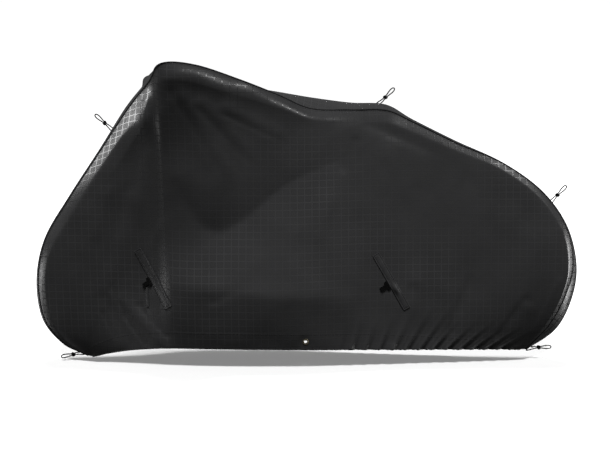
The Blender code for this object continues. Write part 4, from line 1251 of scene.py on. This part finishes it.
def sewn_tape(name, ends, wide, corner, height, side, materials):
    """A tape on the cloth: a grid along and across, drawn in at its round corners."""
    top, bottom = (np.array(end, dtype=float) for end in ends)
    long = float(np.linalg.norm(bottom - top))
    run = (bottom - top) / long
    across = np.array([-run[1], run[0]])
    a = long / 2 * np.sin(np.linspace(-0.5, 0.5, 121) * math.pi)[:, None] + np.zeros((1, 33))
    into_corner = np.clip(np.abs(a) - (long / 2 - corner), 0, corner)
    half = wide / 2 - corner + np.sqrt(np.maximum(corner ** 2 - into_corner ** 2, 0))
    b = half * np.sin(np.linspace(-0.5, 0.5, 33) * math.pi)[None, :]
    middle = (top + bottom) / 2
    x = middle[0] + a * run[0] + b * across[0]
    z = middle[1] + a * run[1] + b * across[1]
    cloth, out = place_on(x, z, side)
    upper = cloth + (LIFT + height(a, b, long))[..., None] * out
    lower = cloth + LIFT * out
    if side < 0:
        upper, lower, a, b = upper[::-1], lower[::-1], a[::-1], b[::-1]
    tape = closed_sheet(name, upper, lower, np.stack((a, b), axis=-1), materials)
    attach(tape, "root")
    return tape, long, run, across, middle


def oblong_line(long, wide, corner, count=400):
    """A closed line round a rectangle with round corners: straight sides and quarter
    circles, evenly spaced."""
    turn = np.linspace(0, math.pi / 2, 12)
    points = []
    for quarter, (sa, sb) in enumerate(((1, 1), (-1, 1), (-1, -1), (1, -1))):
        angle = turn + quarter * math.pi / 2
        points.append(np.stack((sa * (long / 2 - corner) + corner * np.cos(angle),
                                sb * (wide / 2 - corner) + corner * np.sin(angle)), axis=1))
    line = np.concatenate(points + [points[0][:1]])
    run = length_along(line)
    return looked_up(np.linspace(0, run[-1], count), run, line)


def make_flap(place, side_name, side):
    """A flap with the stitches round its edge and round its oblong."""
    name = f"{side_name}_{place}_flap"

    def height_of(a, b, long):
        return flap_height(a, b, long, PUCKER_HIGH[place])

    flap, long, run, across, middle = sewn_tape(f"{name}_cloth", FLAP_ENDS[place], FLAP_WIDE,
                                                FLAP_CORNER, height_of, side, [FLAP_CLOTH])
    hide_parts(name)
    pieces = [flap]
    for what, size, corner in (("edge", (long - 2 * STITCH_IN, FLAP_WIDE - 2 * STITCH_IN), 0.002),
                               ("oblong", OBLONG, OBLONG_CORNER)):
        line = oblong_line(*size, corner)
        x = middle[0] + line[:, 0] * run[0] + line[:, 1] * across[0]
        z = middle[1] + line[:, 0] * run[1] + line[:, 1] * across[1]
        cloth, out = place_on(x, z, side)
        height = LIFT + height_of(line[:, 0], line[:, 1], long) + 0.0001
        pieces.append(stitch_row(f"{name}_{what}_stitches", cloth + height[:, None] * out, out,
                                 FLAP_STITCH_PITCH))
    return pieces


trim = {NEAR: [], FAR: []}
for side, side_name in SIDES:
    for place in FLAP_ENDS:
        trim[side] += make_flap(place, side_name, side)
print("flaps and their stitches:", sum(len(t) for t in trim.values()))

# %% [markdown]
# ## Pull tabs
# A tab is a flat T moulded in rubber: a bar that is sewn along the flap's edge and a
# stem to pull. Its outline is a T with small round corners; the section rises from the
# edge in a quarter circle, so each outline is drawn in a little further than the last.

# %% tabs
TAB_BAR, TAB_STEM, TAB_THICK, TAB_ROUND = (0.034, 0.011), (0.016, 0.024), 0.0030, 0.0012
TAB_CORNER, TAB_DOWN, TAB_GAP, TAB_SPAN = 0.0022, 0.006, 0.0012, 0.036
TAB_FACE_IN, TAB_FACE_SUNK = 0.0034, 0.0004


def t_outline(drawn_in):
    """The T, drawn in by a distance all round: corner points, each replaced by a curve of
    the second degree that leaves and ends on the two edges."""
    bar, deep = TAB_BAR[0] / 2 - drawn_in, (TAB_BAR[1] + TAB_STEM[1]) / 2
    stem, low = TAB_STEM[0] / 2 - drawn_in, -deep + drawn_in
    high, notch = deep - drawn_in, deep - TAB_BAR[1] + drawn_in
    corners = np.array(((-stem, low), (stem, low), (stem, notch), (bar, notch), (bar, high),
                        (-bar, high), (-bar, notch), (-stem, notch)))
    before, after = np.roll(corners, 1, axis=0), np.roll(corners, -1, axis=0)
    to_before, to_after = unit(before - corners), unit(after - corners)
    corner = TAB_CORNER - drawn_in * 0.5
    share = np.linspace(0, 1, 7)[None, :, None]
    first, last = corners + corner * to_before, corners + corner * to_after
    curve = ((1 - share) ** 2 * first[:, None] + 2 * share * (1 - share) * corners[:, None]
             + share ** 2 * last[:, None])
    return curve.reshape(-1, 2)


def on_cloth_frame(x, z, run, side, size):
    """A flat frame laid on the cloth: its centre, its first axis along a direction of the
    side view, and the way out; raised to clear the cloth within size."""
    across = np.array([-run[1], run[0]]) * (1 if side < 0 else -1)
    grid = np.linspace(-size / 2, size / 2, 9)
    a, b = np.meshgrid(grid, grid, indexing="ij")
    points, _ = place_on(x + a * run[0] + b * across[0], z + a * run[1] + b * across[1], side)
    along = unit(points[-1, 4] - points[0, 4])
    out = unit(np.cross(along, points[4, -1] - points[4, 0]))
    up = np.cross(out, along)
    centre = points[4, 4]
    rise = ((points - centre) @ out).max() + LIFT
    return centre + rise * out, along, up, out


def make_tab(place, side_name, side):
    """Outlines stacked from the cloth up to the tab's face, and a face on both ends."""
    top, bottom = (np.array(end) for end in FLAP_ENDS[place])
    run = unit(bottom - top)
    away = np.array([run[1], -run[0]])
    centre = ((top + bottom) / 2 + TAB_DOWN * run
              + away * (FLAP_WIDE / 2 + TAB_GAP + (TAB_BAR[1] + TAB_STEM[1]) / 2))
    middle, along, up, out = on_cloth_frame(*centre, run, side, TAB_SPAN)
    quarter = np.linspace(0, math.pi / 2, 5)
    insets = np.concatenate(([0.0], TAB_ROUND * (1 - np.cos(quarter)), [TAB_FACE_IN]))
    heights = np.concatenate(([0.0], TAB_THICK - TAB_ROUND + TAB_ROUND * np.sin(quarter),
                              [TAB_THICK - TAB_FACE_SUNK]))
    rings = np.stack([t_outline(inset) for inset in insets])
    if side > 0:
        rings = rings[:, ::-1] * (1, -1)
    points = (middle + rings[..., :1] * along + rings[..., 1:] * up + heights[:, None, None] * out)
    faces = grid_faces(*points.shape[:2], wrap_rows=True)[:, ::-1]
    n = points.shape[1]
    caps = [list(range(n))[::-1], list(range((len(rings) - 1) * n, len(rings) * n))]
    tab = finish_mesh(f"{side_name}_{place}_pull_tab", points, faces, rings, [BLACK_RUBBER],
                      more=caps)
    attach(tab, "root")
    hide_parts(f"{side_name}_{place}_tab")
    return tab


for side, side_name in SIDES:
    trim[side] += [make_tab(place, side_name, side) for place in FLAP_ENDS]

# %% [markdown]
# The loose end of a narrow strap hangs below the front tab. It is a ribbon carried along
# a short curve, flat against the cloth.

# %% strap end
STRAP = ((-0.5705, 0.2855), (-0.5725, 0.2600), (-0.5690, 0.2150))
STRAP_WIDE, STRAP_THICK = 0.009, 0.0014
line = smooth_rows(STRAP, np.linspace(0, len(STRAP) - 1, 60))
tangent = unit(np.gradient(line, axis=0))
beside = np.stack((-tangent[:, 1], tangent[:, 0]), axis=1)
b = np.linspace(-0.5, 0.5, 15) * STRAP_WIDE
x = line[:, :1] + b * beside[:, :1]
z = line[:, 1:] + b * beside[:, 1:]
cloth, out = place_on(x, z, NEAR)
edge = 1 - (np.abs(b) / (STRAP_WIDE / 2)) ** 6
height = LIFT + STRAP_THICK * (0.4 + 0.6 * edge)[None, :, None]
down = length_along(line)
flat = np.stack(np.broadcast_arrays(b[None, :], down[:, None]), axis=-1)
strap = closed_sheet("strap_end_ribbon", (cloth + height * out)[::-1], (cloth + LIFT * out)[::-1],
                     flat[::-1], [FLAP_CLOTH])
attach(strap, "root")
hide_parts("strap_end")
trim[NEAR].append(strap)
print("strap end is", round(down[-1] * 1000), "mm long")

# %% [markdown]
# ## Eyelets
# A brass ring is pressed through the hem: a barrel through the hole and a rolled flange
# on each side. It is a profile of radius and height turned about the hole's own axis.

# %% eyelets
EYELET_OUTER, EYELET_BORE, EYELET_BARREL, EYELET_ROLL = 0.0115, 0.0058, 0.0078, 0.0015
FLANGE_OFF_CLOTH = 0.0003


def make_eyelet(side_name):
    """A profile turned once round the hole: a flange, the barrel, the other flange."""
    centre, out = EYELETS[side_name]
    roll = np.linspace(0, math.pi, 13)
    middle_r = (EYELET_OUTER + EYELET_BORE) / 2
    flange_r = middle_r - np.cos(roll) * (EYELET_OUTER - EYELET_BORE) / 2
    flange_h = EYELET_ROLL * np.sin(roll) ** 0.7
    face = CLOTH / 2 + FLANGE_OFF_CLOTH
    radius = np.concatenate((flange_r, [EYELET_BARREL, EYELET_BARREL], flange_r[::-1]))
    height = np.concatenate((face + flange_h, [face], [-face], -face - flange_h[::-1]))
    along = unit(np.cross([0.0, 0.0, 1.0], out))
    up = np.cross(out, along)
    turn = np.linspace(0, 2 * math.pi, 64, endpoint=False)[:, None, None]
    points = (centre + radius[None, :, None] * (np.cos(turn) * along + np.sin(turn) * up)
              + height[None, :, None] * out)
    flat = np.stack((radius[None, :] + 0 * points[..., 0], height[None, :] + 0 * points[..., 0]),
                    axis=-1)
    faces = grid_faces(*points.shape[:2], wrap_rows=True, wrap_columns=True)
    ring = finish_mesh(f"{side_name}_eyelet_ring", points, faces, flat, [AGED_BRASS])
    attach(ring, "root")
    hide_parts(f"{side_name}_eyelet")
    return ring


for side, side_name in SIDES:
    trim[side].append(make_eyelet(side_name))

# %% [markdown]

# %% [markdown]
# ## Floor and light
# A pale sweep: floor, round bend and wall in one surface. The cover is dark and half
# glossy, so two things draw its form. A high soft light from the front brightens cloth
# that leans back and leaves dark what leans in, which shows the tuck and the belly. Four
# panels are seen only as reflections, each placed where one edge mirrors the line of
# sight: the gleam on the front edge, the lower front, the rear edge and the ridge.
# Light linking parts the cover from the paper. The paper has a front light and a high
# one, each nearly enough for white alone, so it is dark only where the cover stops both:
# a slim lens of shadow under the hem. A third, which nothing but the paper stops, keeps
# that shadow from going black.

# %% stage
def sweep(width, front, back, bend, high):
    """Floor from front to back, a quarter circle, and a wall: one profile, carried
    along X."""
    turn = np.linspace(0, math.pi / 2, 17)
    y = np.concatenate(([front], back + bend * np.sin(turn), [back + bend]))
    z = np.concatenate(([0.0], bend * (1 - np.cos(turn)), [high])) + GROUND
    x = np.array([-width / 2, width / 2])
    points = np.stack(np.broadcast_arrays(x[:, None], y[None, :], z[None, :]), axis=-1) - ORIGIN
    return finish_mesh("studio_sweep", points, grid_faces(2, len(y)))


PALE = new_finish("pale studio paper", (0.86, 0.86, 0.86), 0.9)[0]
floor = sweep(16.0, -5.0, 2.4, 1.2, 4.5)
floor.data.materials.append(PALE)


def softbox(name, at, aim, size, power):
    """A soft rectangle of light at a place, aimed at another; the camera doesn't see it."""
    lamp = bpy.data.lights.new(name, "AREA")
    lamp.shape = "RECTANGLE"
    lamp.size, lamp.size_y = size
    lamp.energy = power
    thing = bpy.data.objects.new(name, lamp)
    thing.location = np.array(at) - ORIGIN
    thing.rotation_euler = Vector(np.array(aim) - np.array(at)).to_track_quat("-Z", "Y").to_euler()
    thing.visible_camera = False
    bpy.context.collection.objects.link(thing)
    return thing


def sunlight(name, elevation, energy, angle, from_behind=False):
    """Even light from the front, or from behind, at an elevation in degrees."""
    lamp = bpy.data.lights.new(name, "SUN")
    lamp.energy, lamp.angle = energy, math.radians(angle)
    thing = bpy.data.objects.new(name, lamp)
    tilt = math.radians(90 - elevation)
    thing.rotation_euler = (-tilt if from_behind else tilt, 0.0, 0.0)
    bpy.context.collection.objects.link(thing)
    return thing


def linked_to_floor(name, state):
    """A collection that makes a light reach only the floor, or all but the floor."""
    group = bpy.data.collections.new(name)
    group.objects.link(floor)
    group.collection_objects[0].light_linking.link_state = state
    return group


PAPER = linked_to_floor("paper only", "INCLUDE")
COVER = linked_to_floor("all but the paper", "EXCLUDE")
PANELS = (  # name, where it is, what it aims at, its size and its power
    ("high left panel", (-3.5, 1.55, 1.95), (-1.15, 1.0, 0.2), (1.1, 0.5), 11),
    ("low left panel", (-1.90, 0.25, -0.08), (-0.95, 0, -0.08), (0.75, 0.85), 9),
    ("right panel", (3.45, 0.23, -0.14), (1.02, -0.33, -0.14), (1.16, 1.84), 60),
    ("streak panel", (2.9, -2.3, 3.0), (-0.2, 0, 1.0), (1.5, 0.5), 26),
)
suns = [sunlight("high front light", 66, 5.7, 20),
        sunlight("light on the far side", 25, 2.7, 20, from_behind=True)]
panels = [softbox(*row) for row in PANELS]
for lamp in suns + panels:
    lamp.light_linking.receiver_collection = COVER
for lamp in panels:
    lamp.visible_diffuse = False
for lamp in suns:
    lamp.visible_glossy = False
paper_lights = [sunlight("high light on the paper", 82, 2.6, 14, from_behind=True),
                sunlight("front light on the paper", 37, 4.3, 6),
                sunlight("even light on the floor", 90, 0.88, 20)]
for lamp in paper_lights:
    lamp.light_linking.receiver_collection = PAPER
paper_lights[-1].light_linking.blocker_collection = PAPER
floor.visible_diffuse = floor.visible_glossy = floor.visible_shadow = False
world = bpy.data.worlds.new("studio air")
world.use_nodes = True
air = world.node_tree.nodes["Background"]
air.inputs["Color"].default_value = (1, 1, 1, 1)
air.inputs["Strength"].default_value = 0.08
bpy.context.scene.world = world
bpy.context.scene.view_settings.view_transform = "Standard"
